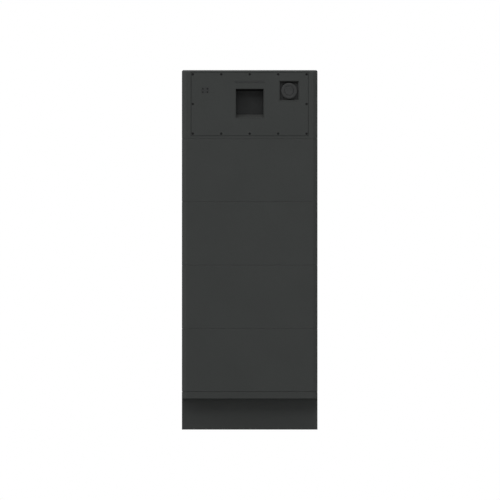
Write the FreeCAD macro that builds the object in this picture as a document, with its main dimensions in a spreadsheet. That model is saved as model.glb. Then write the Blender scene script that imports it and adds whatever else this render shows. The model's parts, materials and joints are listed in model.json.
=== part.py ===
import FreeCAD, Part
import os
import Sketcher
from FreeCAD import Placement, Rotation, Vector
from types import SimpleNamespace

# Stacked lithium-ion battery: a plinth and deck, four equal battery modules and a control box.
# The origin is on the floor under the middle of the footprint. The front faces -Y, X runs to the
# right and Z up. All sizes are in millimetres.

SIZES = [
    # The tower as a whole
    ("tower_width", 450),
    ("tower_depth", 380),
    ("bevel_width", 14),
    ("bevel_depth", 8),
    ("case_wall", 3),
    ("stack_gap", 1),
    ("seam_depth", 1.2),
    ("fit_gap", 0.2),
    ("slip_gap", 0.3),
    # Plinth, deck and levelling feet
    ("plinth_height", 103),
    ("toe_recess", 40),
    ("plinth_sheet", 2.5),
    ("deck_height", 23),
    ("deck_sheet", 5),
    ("foot_inset", 45),
    ("pad_radius", 20),
    ("pad_height", 6),
    ("pad_crown", 5),
    ("foot_stud_radius", 6),
    ("foot_stud_length", 62),
    ("pad_neck", 18),
    ("housing_wall", 2.5),
    ("housing_nut_height", 10),
    # Module case and lid
    ("module_pitch", 210),
    ("lid_thickness", 6),
    ("ledge_width", 5),
    ("ledge_thickness", 3),
    ("peg_size", 12),
    ("peg_draft", -8),
    ("peg_height", 8),
    ("peg_inset", 35),
    ("rear_zone", 41),
    # Cells and what clamps and joins them
    ("cell_side_room", 13.6),
    ("cell_front_room", 7),
    ("cell_height", 118.5),
    ("cell_gap", 0.6),
    ("row_gap", 6),
    ("terminal_spread", 110),
    ("terminal_length", 24),
    ("terminal_width", 16),
    ("terminal_height", 3),
    ("end_plate", 6),
    ("tie_thickness", 3),
    ("tie_height", 18),
    ("tie_level", 84),
    ("link_thickness", 2),
    ("link_width", 14),
    # Monitor board
    ("board_thickness", 1.6),
    ("module_board_width", 300),
    ("module_board_depth", 96),
    ("standoff_height", 12),
    ("standoff_radius", 4),
    # Side grip cups
    ("grip_width", 110),
    ("grip_height", 38),
    ("grip_depth", 26),
    ("grip_level", 163),
    ("grip_draft", 4),
    ("grip_wall", 2),
    ("cup_flange", 6),
    ("flange_thickness", 2),
    # Stack connectors
    ("plug_width", 120),
    ("plug_depth", 22),
    ("plug_nose", 14),
    ("plug_body", 18),
    ("plug_flange", 8),
    ("socket_wall", 3),
    ("socket_floor", 3),
    ("blade_width", 34),
    ("blade_thickness", 4),
    ("blade_height", 10),
    ("blade_offset", 32),
    # Plates and screws that tie the units together at the back
    ("lock_width", 44),
    ("lock_height", 44),
    ("lock_thickness", 2),
    ("lock_screw_step", 26),
    ("screw_radius", 2.5),
    ("screw_head_radius", 4.75),
    ("screw_head_height", 3),
    ("screw_length", 7),
    ("screw_gap", 0.15),
    # Control box
    ("control_height", 227),
    ("top_round", 6),
    ("front_wall", 6),
    ("cover_side_margin", 31.2),
    ("cover_top_margin", 7.3),
    ("cover_foot_margin", 9.7),
    ("cover_thickness", 2.5),
    ("cover_corner", 3),
    ("cover_gap", 1.2),
    ("gasket_thickness", 0.8),
    ("gasket_width", 1.5),
    ("seat_width", 12),
    ("cover_screw_inset_x", 5),
    ("cover_screw_inset_z", 6.5),
    ("cover_screw_radius", 2),
    ("cover_screw_head", 4),
    ("cover_screw_length", 7),
    # Grip pocket and light bar in the cover
    ("pocket_width", 92),
    ("pocket_height", 96.7),
    ("pocket_drop", 103.3),
    ("pocket_floor_width", 89),
    ("pocket_floor_height", 77.8),
    ("pocket_floor_rise", 2.2),
    ("pocket_depth", 28),
    ("pocket_wall", 2),
    ("bar_width", 97),
    ("bar_height", 6),
    ("bar_drop", 32.1),
    ("bar_board_height", 10),
    # Button recess, collar and start button
    ("recess_width", 63),
    ("recess_height", 65.4),
    ("recess_floor_width", 58),
    ("recess_floor_height", 54.4),
    ("recess_depth", 12),
    ("recess_floor_drop", 1.2),
    ("button_inset", 62.8),
    ("button_drop", 61.5),
    ("collar_radius", 26.2),
    ("collar_setback", 1),
    ("collar_neck_radius", 20),
    ("collar_neck_length", 14),
    ("collar_lip", 6),
    ("collar_edge", 1),
    ("button_radius", 15),
    ("button_proud", 0.8),
    ("button_edge", 0.6),
    ("button_rim", 3),
    ("button_travel", 3),
    ("button_flange_radius", 17),
    ("button_flange", 2),
    ("button_stem_radius", 4),
    ("spring_radius", 8),
    ("spring_wire", 0.8),
    ("spring_turns", 4),
    ("switch_size", 24),
    ("switch_depth", 22),
    # Service port plate
    ("port_inset", 45.8),
    ("port_drop", 60),
    ("port_width", 23),
    ("port_height", 18),
    ("port_flange", 3),
    ("port_screw_across", 15.2),
    ("port_screw_rise", 11),
    ("port_screw_radius", 1.25),
    ("port_screw_head", 2.3),
    ("port_screw_head_height", 0.8),
    ("port_screw_length", 5),
    # Rear connector bay and what it holds
    ("bay_side_margin", 75),
    ("bay_top_margin", 83),
    ("bay_foot_margin", 40),
    ("bay_depth", 42),
    ("bay_wall", 2.5),
    ("bay_draft", 2),
    ("power_socket_inset", 46),
    ("power_socket_step", 46),
    ("power_socket_flange", 32),
    ("power_socket_radius", 12),
    ("power_bore_radius", 6),
    ("power_bore_length", 22),
    ("power_socket_length", 28),
    ("power_tail", 16),
    ("port_block_width", 18),
    ("port_block_height", 16),
    ("port_block_depth", 18),
    ("port_opening_width", 12),
    ("port_opening_height", 8),
    ("port_opening_depth", 12),
    ("data_port_across", 10),
    ("data_port_step", 30),
    ("earth_across", 40),
    ("earth_drop", 24),
    ("earth_radius", 3),
    ("earth_length", 20),
    ("earth_nut_radius", 6),
    ("earth_nut_height", 4.8),
    ("isolator_inset", 52),
    ("isolator_body", 56),
    ("isolator_body_depth", 38),
    ("handle_radius", 24),
    ("handle_base", 6),
    ("handle_edge", 1.5),
    ("handle_grip_round", 3),
    ("handle_grip_width", 12),
    ("handle_grip_length", 45.6),
    ("handle_grip_height", 14),
    ("handle_shaft_radius", 4),
    ("handle_shaft_length", 18),
    # Wall brackets
    ("bracket_inset", 75),
    ("bracket_width", 60),
    ("bracket_sheet", 3),
    ("bracket_reach", 30),
    ("bracket_foot", 30),
    ("bracket_rise", 34),
    ("bracket_drop", 47),
    ("bracket_screw_step", 30),
    ("slot_width", 8),
    ("slot_length", 20),
    # Inside the control box
    ("control_board_width", 190),
    ("control_board_height", 140),
    ("control_board_level", 30),
    ("board_standoff", 10),
    ("contactor_width", 52),
    ("contactor_depth", 60),
    ("contactor_height", 74),
    ("contactor_step", 74),
    ("fuse_radius", 15),
    ("fuse_length", 64),
    ("fuse_blade", 18),
    ("fuse_base_height", 24),
    ("bar_copper_width", 16),
    ("bar_copper", 3),
]

MODULES = 4
CELLS_IN_ROW = 8
ROWS = 2
CHORDS_IN_TURN = 8
HEAD_SIDES = 12
SHANK_SIDES = 8
PAD_SIDES = 16

document = FreeCAD.newDocument("StackedBattery")
sheet = document.addObject("Spreadsheet::Sheet", "Sizes")


class Size(float):
    """A length that carries the sheet formula it comes from together with its number."""

    def __new__(cls, number, formula):
        made = super().__new__(cls, number)
        made.formula = formula
        return made

    def __add__(self, other):
        return joined(self, "+", other, float(self) + float(other))

    def __radd__(self, other):
        return joined(other, "+", self, float(other) + float(self))

    def __sub__(self, other):
        return joined(self, "-", other, float(self) - float(other))

    def __rsub__(self, other):
        return joined(other, "-", self, float(other) - float(self))

    def __mul__(self, other):
        return joined(self, "*", other, float(self) * float(other))

    def __rmul__(self, other):
        return joined(other, "*", self, float(other) * float(self))

    def __truediv__(self, other):
        return joined(self, "/", other, float(self) / float(other))

    def __neg__(self):
        return joined(0, "-", self, -float(self))


def joined(first, sign, second, number):
    return Size(number, f"({formula_of(first)} {sign} {formula_of(second)})")


def formula_of(value):
    return value.formula if isinstance(value, Size) else str(value)


for row, (alias, number) in enumerate(SIZES, start=1):
    sheet.set(f"A{row}", alias)
    sheet.set(f"B{row}", str(number))
    sheet.setAlias(f"B{row}", alias)
document.recompute()
mm = SimpleNamespace(**{name: Size(getattr(sheet, name), f"Sizes.{name}") for name, number in SIZES})


# Helpers that bind features to the sheet

def bind(thing, name, value):
    """Set a property, tied to the sheet where the value comes from it."""
    if isinstance(value, Size):
        thing.setExpression(name, value.formula)
    else:
        setattr(thing, name, value)


def place(thing, x=0, y=0, z=0):
    """Tie an object's place to the sheet."""
    for letter, value in zip("xyz", (x, y, z)):
        thing.setExpression(f".Placement.Base.{letter}", formula_of(value))


def new_body(label):
    made = document.addObject("PartDesign::Body", label)
    made.Label = label
    return made


def origin_plane(body, role):
    return next(item for item in body.Origin.OriginFeatures if item.Role == role)


def new_sketch(body, role="XY_Plane", level=0):
    """Start a sketch on one of the body's own planes, moved along that plane's normal."""
    made = body.newObject("Sketcher::SketchObject", f"{body.Name}_sketch")
    made.AttachmentSupport = (origin_plane(body, role), [""])
    made.MapMode = "FlatFace"
    made.setExpression("AttachmentOffset.Base.z", formula_of(level))
    return made


def dimension(sketch, kind, where, value):
    """Add a dimension to a sketch, tied to the sheet."""
    index = sketch.addConstraint(Sketcher.Constraint(kind, *where, float(value)))
    if isinstance(value, Size):
        sketch.renameConstraint(index, f"size_{index}")
        sketch.setExpression(f"Constraints.size_{index}", value.formula)


def locate(sketch, item, point, x, y):
    """Fix a point of a sketch from the sketch's origin."""
    for kind, axis, value in (("DistanceX", -2, x), ("DistanceY", -1, y)):
        if isinstance(value, Size) or value != 0:
            dimension(sketch, kind, (-1, 1, item, point), value)
        else:
            sketch.addConstraint(Sketcher.Constraint("PointOnObject", item, point, axis))


def polygon(sketch, points):
    """Draw a closed outline through points, each of them dimensioned."""
    first = sketch.GeometryCount
    count = len(points)
    for start, end in zip(points, points[1:] + points[:1]):
        line = Part.LineSegment(Vector(start[0], start[1], 0), Vector(end[0], end[1], 0))
        sketch.addGeometry(line)
    for index in range(count):
        following = (index + 1) % count
        sketch.addConstraint(
            Sketcher.Constraint("Coincident", first + index, 2, first + following, 1)
        )
    for index, (x, y) in enumerate(points):
        locate(sketch, first + index, 1, x, y)


def rectangle(sketch, x, y, width, height):
    """Draw a rectangle round its centre."""
    first = sketch.GeometryCount
    left, right = x - width / 2, x + width / 2
    low, high = y - height / 2, y + height / 2
    corners = [(left, low), (right, low), (right, high), (left, high)]
    for start, end in zip(corners, corners[1:] + corners[:1]):
        sketch.addGeometry(Part.LineSegment(Vector(*start, 0), Vector(*end, 0)))
    for index in range(4):
        following = first + (index + 1) % 4
        sketch.addConstraint(Sketcher.Constraint("Coincident", first + index, 2, following, 1))
        direction = "Horizontal" if index % 2 == 0 else "Vertical"
        sketch.addConstraint(Sketcher.Constraint(direction, first + index))
    dimension(sketch, "DistanceX", (first, 1, first, 2), width)
    dimension(sketch, "DistanceY", (first + 1, 1, first + 1, 2), height)
    locate(sketch, first, 1, left, low)


def bevelled_points(width, depth, bevel_x, bevel_y, middle=0):
    """Give the eight corners of a rectangle with bevelled corners."""
    right, back = width / 2, depth / 2
    inner_x, inner_y = right - bevel_x, back - bevel_y
    return [
        (-inner_x, middle - back),
        (inner_x, middle - back),
        (right, middle - inner_y),
        (right, middle + inner_y),
        (inner_x, middle + back),
        (-inner_x, middle + back),
        (-right, middle + inner_y),
        (-right, middle - inner_y),
    ]


def circle(sketch, x, y, radius):
    index = sketch.addGeometry(Part.Circle(Vector(x, y, 0), Vector(0, 0, 1), float(radius)))
    dimension(sketch, "Radius", (index,), radius)
    locate(sketch, index, 3, x, y)


def many_sided(sketch, x, y, radius, sides):
    """Draw a regular outline with its corners on a circle, for small repeated round pieces."""
    first = sketch.GeometryCount
    centre = Vector(x, y, 0)
    turn = Rotation(Vector(0, 0, 1), 360 / sides)
    arm = Vector(float(radius), 0, 0)
    for number in range(sides):
        following = turn.multVec(arm)
        sketch.addGeometry(Part.LineSegment(centre + arm, centre + following))
        arm = following
    guide = sketch.addGeometry(Part.Circle(centre, Vector(0, 0, 1), float(radius)), True)
    for number in range(sides):
        line = first + number
        following = first + (number + 1) % sides
        sketch.addConstraint(Sketcher.Constraint("Coincident", line, 2, following, 1))
        sketch.addConstraint(Sketcher.Constraint("PointOnObject", line, 1, guide))
        if number:
            sketch.addConstraint(Sketcher.Constraint("Equal", first, line))
    sketch.addConstraint(Sketcher.Constraint("Horizontal", guide, 3, first, 1))
    dimension(sketch, "Radius", (guide,), radius)
    locate(sketch, guide, 3, x, y)


def screw_solid(label, length, radius, head_radius, head_height, seat=0):
    """A screw along Z: a round head on its seat and a plain shank below, drawn with few sides."""
    body = new_body(label)
    shank = new_sketch(body, level=seat)
    many_sided(shank, 0, 0, radius, SHANK_SIDES)
    pad(body, shank, length + seat, Reversed=True)
    head = new_sketch(body, level=seat)
    many_sided(head, 0, 0, head_radius, HEAD_SIDES)
    pad(body, head, head_height)
    return body


def feature(body, kind, sketch, **settings):
    """Add a sketch-based feature and make it the body's tip."""
    made = body.newObject(f"PartDesign::{kind}", f"{body.Name}_{kind}")
    made.Profile = sketch
    for name, value in settings.items():
        bind(made, name, value)
    body.Tip = made
    return made


def pad(body, sketch, length, **settings):
    return feature(body, "Pad", sketch, Length=length, **settings)


def pocket(body, sketch, length, **settings):
    return feature(body, "Pocket", sketch, Length=length, **settings)


def revolution(body, sketch):
    return feature(body, "Revolution", sketch, ReferenceAxis=(sketch, ["V_Axis"]), Angle=360)


def loft(body, kind, sketches):
    """Add or cut a loft from the first sketch to the others."""
    made = body.newObject(f"PartDesign::{kind}", f"{body.Name}_{kind}")
    made.Profile = sketches[0]
    made.Sections = sketches[1:]
    made.Ruled = True
    body.Tip = made
    return made


def edges_where(thing, test):
    """Name the edges of a feature for which the test holds."""
    document.recompute()
    return [f"Edge{n}" for n, edge in enumerate(thing.Shape.Edges, start=1) if test(edge)]


def is_along(edge, direction):
    start, end = edge.Vertexes[0].Point, edge.Vertexes[-1].Point
    span = end - start
    return span.Length > 1e-6 and abs(abs(span.normalize().dot(direction)) - 1) < 1e-6


def dress(body, kind, test, **settings):
    """Fillet or chamfer the edges of the body's tip for which the test holds."""
    base = body.Tip
    names = edges_where(base, test)
    made = body.newObject(f"PartDesign::{kind}", f"{body.Name}_{kind}")
    made.Base = (base, names)
    for name, value in settings.items():
        bind(made, name, value)
    body.Tip = made
    return made


def row_pattern(body, originals, first, second=None):
    """Repeat features along one or two directions: (axis, spacing, count)."""
    made = body.newObject("PartDesign::LinearPattern", f"{body.Name}_row")
    made.Originals = originals
    base = originals[0].Profile[0]
    made.Direction = (base, [first[0]])
    made.Mode = "Spacing"
    bind(made, "Offset", first[1])
    made.Occurrences = first[2]
    if second:
        made.Direction2 = (base, [second[0]])
        made.Occurrences2 = second[2]
        made.Mode2 = "Extent"
        bind(made, "Length2", second[1] * (second[2] - 1))
    body.Tip = made
    return made


def box(name, low, high):
    """Make a block between two corners."""
    made = document.addObject("Part::Box", name)
    for side, start, end in zip(("Length", "Width", "Height"), low, high):
        bind(made, side, end - start)
    place(made, *low)
    return made


def cylinder(name, radius, height, x, y, z, turn=None):
    """Make a cylinder that starts at a point and runs along Z, or as turned."""
    made = document.addObject("Part::Cylinder", name)
    bind(made, "Radius", radius)
    bind(made, "Height", height)
    if turn:
        made.Placement = Placement(Vector(), turn)
    place(made, x, y, z)
    return made


def fused(label, pieces):
    made = document.addObject("Part::MultiFuse", label)
    made.Shapes = pieces
    made.Label = label
    return made


def group(label, pieces):
    """Collect separate solids in one sub-part."""
    made = document.addObject("Part::Compound", label)
    made.Links = pieces
    made.Label = label
    return made


def copies(label, pattern_piece, spots):
    """Set copies of one modelled piece at many places as one sub-part."""
    document.recompute()
    made = document.addObject("Part::Feature", label)
    made.Label = label
    solids = []
    for spot in spots:
        solid = pattern_piece.Shape.copy()
        solid.Placement = spot.multiply(pattern_piece.Shape.Placement)
        solids.append(solid)
    made.Shape = Part.makeCompound(solids)
    return made


TO_FRONT = Rotation(Vector(1, 0, 0), 90)
TO_BACK = Rotation(Vector(1, 0, 0), -90)

# Places that several sub-parts share

half_width = mm.tower_width / 2
half_depth = mm.tower_depth / 2
inner_width = mm.tower_width - mm.case_wall * 2
inner_back = half_depth - mm.case_wall
deck_base = mm.plinth_height
stack_base = mm.plinth_height + mm.deck_height
control_base = stack_base + mm.module_pitch * MODULES
plinth_depth = mm.tower_depth - mm.toe_recess
plinth_middle = mm.toe_recess / 2
case_height = mm.module_pitch - mm.stack_gap
plug_y = inner_back - mm.rear_zone / 2
plug_hole_width = mm.plug_width + mm.fit_gap * 2
plug_hole_depth = mm.plug_depth + mm.fit_gap * 2
socket_width = plug_hole_width + mm.socket_wall * 2
socket_depth = plug_hole_depth + mm.socket_wall * 2
socket_cavity = mm.plug_nose + mm.fit_gap * 2
socket_height = socket_cavity + mm.socket_floor
stack_flange_width = mm.plug_width + mm.plug_flange * 2
stack_flange_depth = mm.plug_depth + mm.plug_flange * 2
peg_x = half_width - mm.peg_inset
screw_hole = mm.screw_radius + mm.screw_gap
lock_screw_rise = mm.lock_screw_step / 2


def bevelled_block(body, width, depth, height, middle=0, level=0):
    outline = new_sketch(body, level=level)
    polygon(outline, bevelled_points(width, depth, mm.bevel_width, mm.bevel_depth, middle))
    return pad(body, outline, height)


def stack_openings(body, floor):
    """Cut the plug's hole and the two locating holes through a unit's floor."""
    holes = new_sketch(body)
    rectangle(holes, 0, plug_y, plug_hole_width, plug_hole_depth)
    for side in (-1, 1):
        hole = mm.peg_size + mm.slip_gap * 2
        rectangle(holes, peg_x * side, plug_y, hole, hole)
    pocket(body, holes, floor, Reversed=True)


def socket_seat(body, top):
    """Cut the socket's hole, and the shallow seat of its flange, into a top face."""
    seat = new_sketch(body, level=top)
    rectangle(seat, 0, plug_y, stack_flange_width + mm.fit_gap * 2, stack_flange_depth + mm.fit_gap * 2)
    pocket(body, seat, mm.flange_thickness)
    hole = new_sketch(body, level=top)
    rectangle(hole, 0, plug_y, socket_width + mm.fit_gap * 2, socket_depth + mm.fit_gap * 2)
    pocket(body, hole, socket_height + mm.fit_gap)


def stacking_seat(body, top):
    """Raise the thin seat for the next unit, a little inside the walls, so that a groove shows."""
    seat = new_sketch(body, level=top - mm.stack_gap)
    width, depth = mm.tower_width - mm.seam_depth * 2, mm.tower_depth - mm.seam_depth * 2
    polygon(seat, bevelled_points(width, depth, mm.bevel_width, mm.bevel_depth))
    pad(body, seat, mm.stack_gap)


def locating_pegs(body, top):
    """Raise the two drafted pegs that centre the next unit."""
    pegs = new_sketch(body, level=top)
    for side in (-1, 1):
        rectangle(pegs, peg_x * side, plug_y, mm.peg_size, mm.peg_size)
    pad(body, pegs, mm.peg_height, TaperAngle=mm.peg_draft)


def on_level(edge, level):
    bounds = edge.BoundBox
    return abs(bounds.ZMin - level) < 1e-4 and abs(bounds.ZMax - level) < 1e-4


def rear_holes(body, spots, depth):
    """Drill screw holes into a unit's back."""
    holes = new_sketch(body, "XZ_Plane", -half_depth)
    for x, z in spots:
        many_sided(holes, x, z, screw_hole, SHANK_SIDES)
    pocket(body, holes, depth, Reversed=True)


# Plinth, deck and feet

foot_x = half_width - mm.foot_inset
foot_front = plinth_middle - plinth_depth / 2 + mm.foot_inset
foot_back = half_depth - mm.foot_inset
FEET = {
    "foot_front_left": (-foot_x, foot_front),
    "foot_front_right": (foot_x, foot_front),
    "foot_back_left": (-foot_x, foot_back),
    "foot_back_right": (foot_x, foot_back),
}
housing_radius = mm.pad_radius + mm.slip_gap + mm.housing_wall
pad_top = mm.pad_height + mm.pad_crown
housing_top = pad_top + mm.slip_gap + mm.housing_nut_height


def make_plinth():
    """A folded steel tray with a flat floor, set back at the front as a toe-kick."""
    body = new_body("plinth")
    outline = new_sketch(body)
    rectangle(outline, 0, plinth_middle, mm.tower_width, plinth_depth)
    pad(body, outline, mm.plinth_height)
    hollow = new_sketch(body, level=mm.plinth_height)
    rectangle(
        hollow, 0, plinth_middle, mm.tower_width - mm.plinth_sheet * 2, plinth_depth - mm.plinth_sheet * 2
    )
    pocket(body, hollow, mm.plinth_height - mm.plinth_sheet)
    holes = new_sketch(body)
    for x, y in FEET.values():
        many_sided(holes, x, y, mm.pad_radius + mm.slip_gap, PAD_SIDES)
    pocket(body, holes, mm.plinth_sheet, Reversed=True)
    return body


def make_deck():
    """The thick lip that carries the stack; it overhangs the toe-kick."""
    body = new_body("base_deck")
    bevelled_block(body, mm.tower_width, mm.tower_depth, mm.deck_height - mm.stack_gap)
    hollow = new_sketch(body)
    rectangle(
        hollow, 0, plinth_middle, mm.tower_width - mm.bevel_width * 2, plinth_depth - mm.bevel_width * 2
    )
    pocket(body, hollow, mm.deck_height - mm.stack_gap - mm.deck_sheet, Reversed=True)
    stacking_seat(body, mm.deck_height)
    socket_seat(body, mm.deck_height)
    locating_pegs(body, mm.deck_height)
    rear_holes(body, [(0, mm.deck_height - lock_screw_rise)], mm.screw_length)
    place(body, z=deck_base)
    return body


def make_foot(label, x, y):
    """A levelling foot: a pad drafted to its neck, on a threaded stud."""
    body = new_body(label)
    disc = new_sketch(body)
    many_sided(disc, 0, 0, mm.pad_radius, PAD_SIDES)
    pad(body, disc, mm.pad_height)
    crown = new_sketch(body, level=mm.pad_height)
    many_sided(crown, 0, 0, mm.pad_radius, PAD_SIDES)
    neck = new_sketch(body, level=pad_top)
    many_sided(neck, 0, 0, mm.pad_neck / 2, PAD_SIDES)
    loft(body, "AdditiveLoft", [crown, neck])
    stud = new_sketch(body, level=pad_top)
    many_sided(stud, 0, 0, mm.foot_stud_radius, HEAD_SIDES)
    pad(body, stud, mm.foot_stud_length - pad_top)
    place(body, x, y)
    return body


def make_foot_housings():
    """Steel bosses welded on the plinth's floor, each threaded for its foot and hollow for the pad."""
    body = new_body("foot_housing_master")
    roof = pad_top + mm.slip_gap
    boss = new_sketch(body, level=mm.plinth_sheet)
    many_sided(boss, 0, 0, housing_radius, PAD_SIDES)
    pad(body, boss, housing_top - mm.plinth_sheet)
    hollow = new_sketch(body, level=mm.plinth_sheet)
    many_sided(hollow, 0, 0, mm.pad_radius + mm.slip_gap, PAD_SIDES)
    pocket(body, hollow, roof - mm.plinth_sheet, Reversed=True)
    thread = new_sketch(body, level=housing_top)
    many_sided(thread, 0, 0, mm.foot_stud_radius + mm.slip_gap, HEAD_SIDES)
    pocket(body, thread, housing_top - roof)
    spots = [Placement(Vector(x, y, 0), Rotation()) for x, y in FEET.values()]
    return copies("foot_housings", body, spots)


# Battery modules

ledge_top = mm.module_pitch - mm.lid_thickness
cells_room = inner_width - (mm.cell_side_room + mm.end_plate + mm.slip_gap) * 2
cell_thickness = (cells_room - mm.cell_gap * (CELLS_IN_ROW - 1)) / CELLS_IN_ROW
rows_room = mm.tower_depth - mm.case_wall * 2 - mm.rear_zone - mm.cell_front_room
cell_width = (rows_room - mm.row_gap * (ROWS - 1)) / ROWS
cell_step = cell_thickness + mm.cell_gap
row_step = cell_width + mm.row_gap
cells_width = cell_step * CELLS_IN_ROW - mm.cell_gap
cells_back = inner_back - mm.rear_zone
cells_middle = cells_back - cell_width - mm.row_gap / 2
cell_top = mm.case_wall + mm.cell_height
plate_x = cells_width / 2 + mm.slip_gap
grip_y = -mm.rear_zone / 2
grip_rim = mm.grip_wall + mm.fit_gap


def make_module_case(label, base):
    """A deep tray with bevelled uprights, a return ledge for the lid and two grip windows."""
    body = new_body(label)
    bevelled_block(body, mm.tower_width, mm.tower_depth, case_height)
    cavity = new_sketch(body, level=case_height)
    inner_depth = mm.tower_depth - mm.case_wall * 2
    polygon(cavity, bevelled_points(inner_width, inner_depth, mm.bevel_width, mm.bevel_depth))
    pocket(body, cavity, case_height - mm.case_wall)
    ledge = new_sketch(body, level=ledge_top)
    polygon(ledge, bevelled_points(inner_width, inner_depth, mm.bevel_width, mm.bevel_depth))
    rectangle(ledge, 0, 0, inner_width - mm.bevel_width * 2, inner_depth - mm.ledge_width * 2)
    pad(body, ledge, mm.ledge_thickness, Reversed=True)
    stack_openings(body, mm.case_wall)
    windows = new_sketch(body, "YZ_Plane", half_width)
    rectangle(
        windows, grip_y, mm.grip_level, mm.grip_width + grip_rim * 2, mm.grip_height + grip_rim * 2
    )
    pocket(body, windows, mm.tower_width)
    rear_holes(body, [(0, lock_screw_rise), (0, mm.module_pitch - lock_screw_rise)], mm.case_wall)
    place(body, z=base)
    return body


def make_module_lid(label, base):
    """A lid that drops on the case's ledge; its thin rim covers the walls and carries the next unit."""
    body = new_body(label)
    outline = new_sketch(body, level=ledge_top)
    width = inner_width - mm.fit_gap * 2
    depth = mm.tower_depth - mm.case_wall * 2 - mm.fit_gap * 2
    polygon(outline, bevelled_points(width, depth, mm.bevel_width, mm.bevel_depth))
    pad(body, outline, mm.lid_thickness - mm.stack_gap)
    stacking_seat(body, mm.module_pitch)
    socket_seat(body, mm.module_pitch)
    locating_pegs(body, mm.module_pitch)
    place(body, z=base)
    return body


def make_cells(label, base):
    """Sixteen prismatic cells: a tall can with two terminals, repeated in two rows."""
    body = new_body(label)
    first_x = (cell_thickness - cells_width) / 2
    first_y = cells_middle - row_step / 2
    can = new_sketch(body, level=mm.case_wall)
    rectangle(can, first_x, first_y, cell_thickness, cell_width)
    tin = pad(body, can, mm.cell_height)
    ends = new_sketch(body, level=cell_top)
    for side in (-0.5, 0.5):
        rectangle(
            ends, first_x, first_y + mm.terminal_spread * side, mm.terminal_length, mm.terminal_width
        )
    terminals = pad(body, ends, mm.terminal_height)
    row_pattern(
        body, [tin, terminals], ("H_Axis", cell_step, CELLS_IN_ROW), ("V_Axis", row_step, ROWS)
    )
    place(body, z=base)
    return body


def make_clamp_frame(label, base):
    """Two end plates that squeeze the cells, joined by three flat tie bars."""
    plate_height = mm.cell_height
    block_depth = row_step + cell_width
    front = cells_middle - block_depth / 2 - mm.slip_gap - mm.tie_thickness
    back = cells_middle + block_depth / 2 + mm.slip_gap + mm.tie_thickness
    plates = [
        box(f"{label}_end", (x, front, mm.case_wall), (x + mm.end_plate, back, mm.case_wall + plate_height))
        for x in (-plate_x - mm.end_plate, plate_x)
    ]
    ties = []
    for y in (front, cells_middle - mm.tie_thickness / 2, back - mm.tie_thickness):
        low = (-plate_x, y, mm.tie_level)
        high = (plate_x, y + mm.tie_thickness, mm.tie_level + mm.tie_height)
        ties.append(box(f"{label}_tie", low, high))
    made = fused(label, plates + ties)
    place(made, z=base)
    return made


def terminal_spot(column, row, side):
    """Give the middle of a cell's terminal."""
    x = cell_step * column - (cells_width - cell_thickness) / 2
    y = cells_middle + row_step * (row - 0.5) + mm.terminal_spread * 0.5 * side
    return x, y


def flat_link(name, x_low, x_high, y_low, y_high, level):
    return box(name, (x_low, y_low, level), (x_high, y_high, level + mm.link_thickness))


def module_links(base):
    """The copper links that join a module's cells in series, and its two output bars."""
    level = base + cell_top + mm.terminal_height
    half = mm.link_width / 2
    links = []
    for row in range(ROWS):
        for column in range(CELLS_IN_ROW - 1):
            side = 1 if (column + row) % 2 else -1
            x, y = terminal_spot(column, row, side)
            links.append(flat_link("link", x - half, x + cell_step + half, y - half, y + half, level))
    x, low = terminal_spot(CELLS_IN_ROW - 1, 0, 1)
    x, high = terminal_spot(CELLS_IN_ROW - 1, 1, -1)
    links.append(flat_link("cross_link", x - half, x + half, low - half, high + half, level))
    return links


def make_links(label):
    pieces = []
    for number in range(MODULES):
        pieces += module_links(stack_base + mm.module_pitch * number)
    return group(label, pieces)


def make_monitor_board(label, base):
    """The cell monitor board on four pillars that stand on the cells."""
    top = cell_top + mm.standoff_height
    half_x, half_y = mm.module_board_width / 2, mm.module_board_depth / 2
    middle = cells_middle - row_step / 2
    half = mm.standoff_radius
    pillars = [
        box(f"{label}_pillar", (x - half, y - half, cell_top), (x + half, y + half, top))
        for x, y in pillar_spots(cell_step * 2.5, middle, mm.terminal_spread / 4)
    ]
    face = top + mm.board_thickness
    plate = box(f"{label}_plate", (-half_x, middle - half_y, top), (half_x, middle + half_y, face))
    chips = []
    for number in range(4):
        left = half_x * (number / 2 - 0.9)
        low = (left, middle - half_y / 3, face)
        high = (left + cell_thickness / 2, middle + half_y / 3, face + mm.board_thickness * 3)
        chips.append(box(f"{label}_chip", low, high))
    made = fused(label, [plate] + pillars + chips)
    place(made, z=base)
    return made


def pillar_spots(reach_x, middle_y, reach_y):
    return [(reach_x * a, middle_y + reach_y * b) for a in (-1, 1) for b in (-1, 1)]


def cup(label, role, level, inward, mouth, floor, depth, wall, seat):
    """A moulded cup that fills a window: drafted walls, a floor and a flange behind the panel.

    mouth and floor are (x, y, width, height) in the plane of the panel; level is the panel's
    face, inward the side on which the cup goes in, and seat the panel's thickness.
    """
    body = new_body(label)
    made = []
    for kind, extra, reach in (("AdditiveLoft", wall, depth + wall), ("SubtractiveLoft", 0, depth)):
        sections = []
        for at, (x, y, width, height) in ((level, mouth), (level + reach * inward, floor)):
            section = new_sketch(body, role, at)
            rectangle(section, x, y, width + extra * 2, height + extra * 2)
            sections.append(section)
        made.append((kind, sections))
    loft(body, *made[0])
    x, y, width, height = mouth
    flange = new_sketch(body, role, level + seat * inward)
    rectangle(flange, x, y, width + (wall + mm.cup_flange) * 2, height + (wall + mm.cup_flange) * 2)
    pad(body, flange, mm.flange_thickness, Reversed=inward < 0)
    loft(body, *made[1])
    return body


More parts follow.
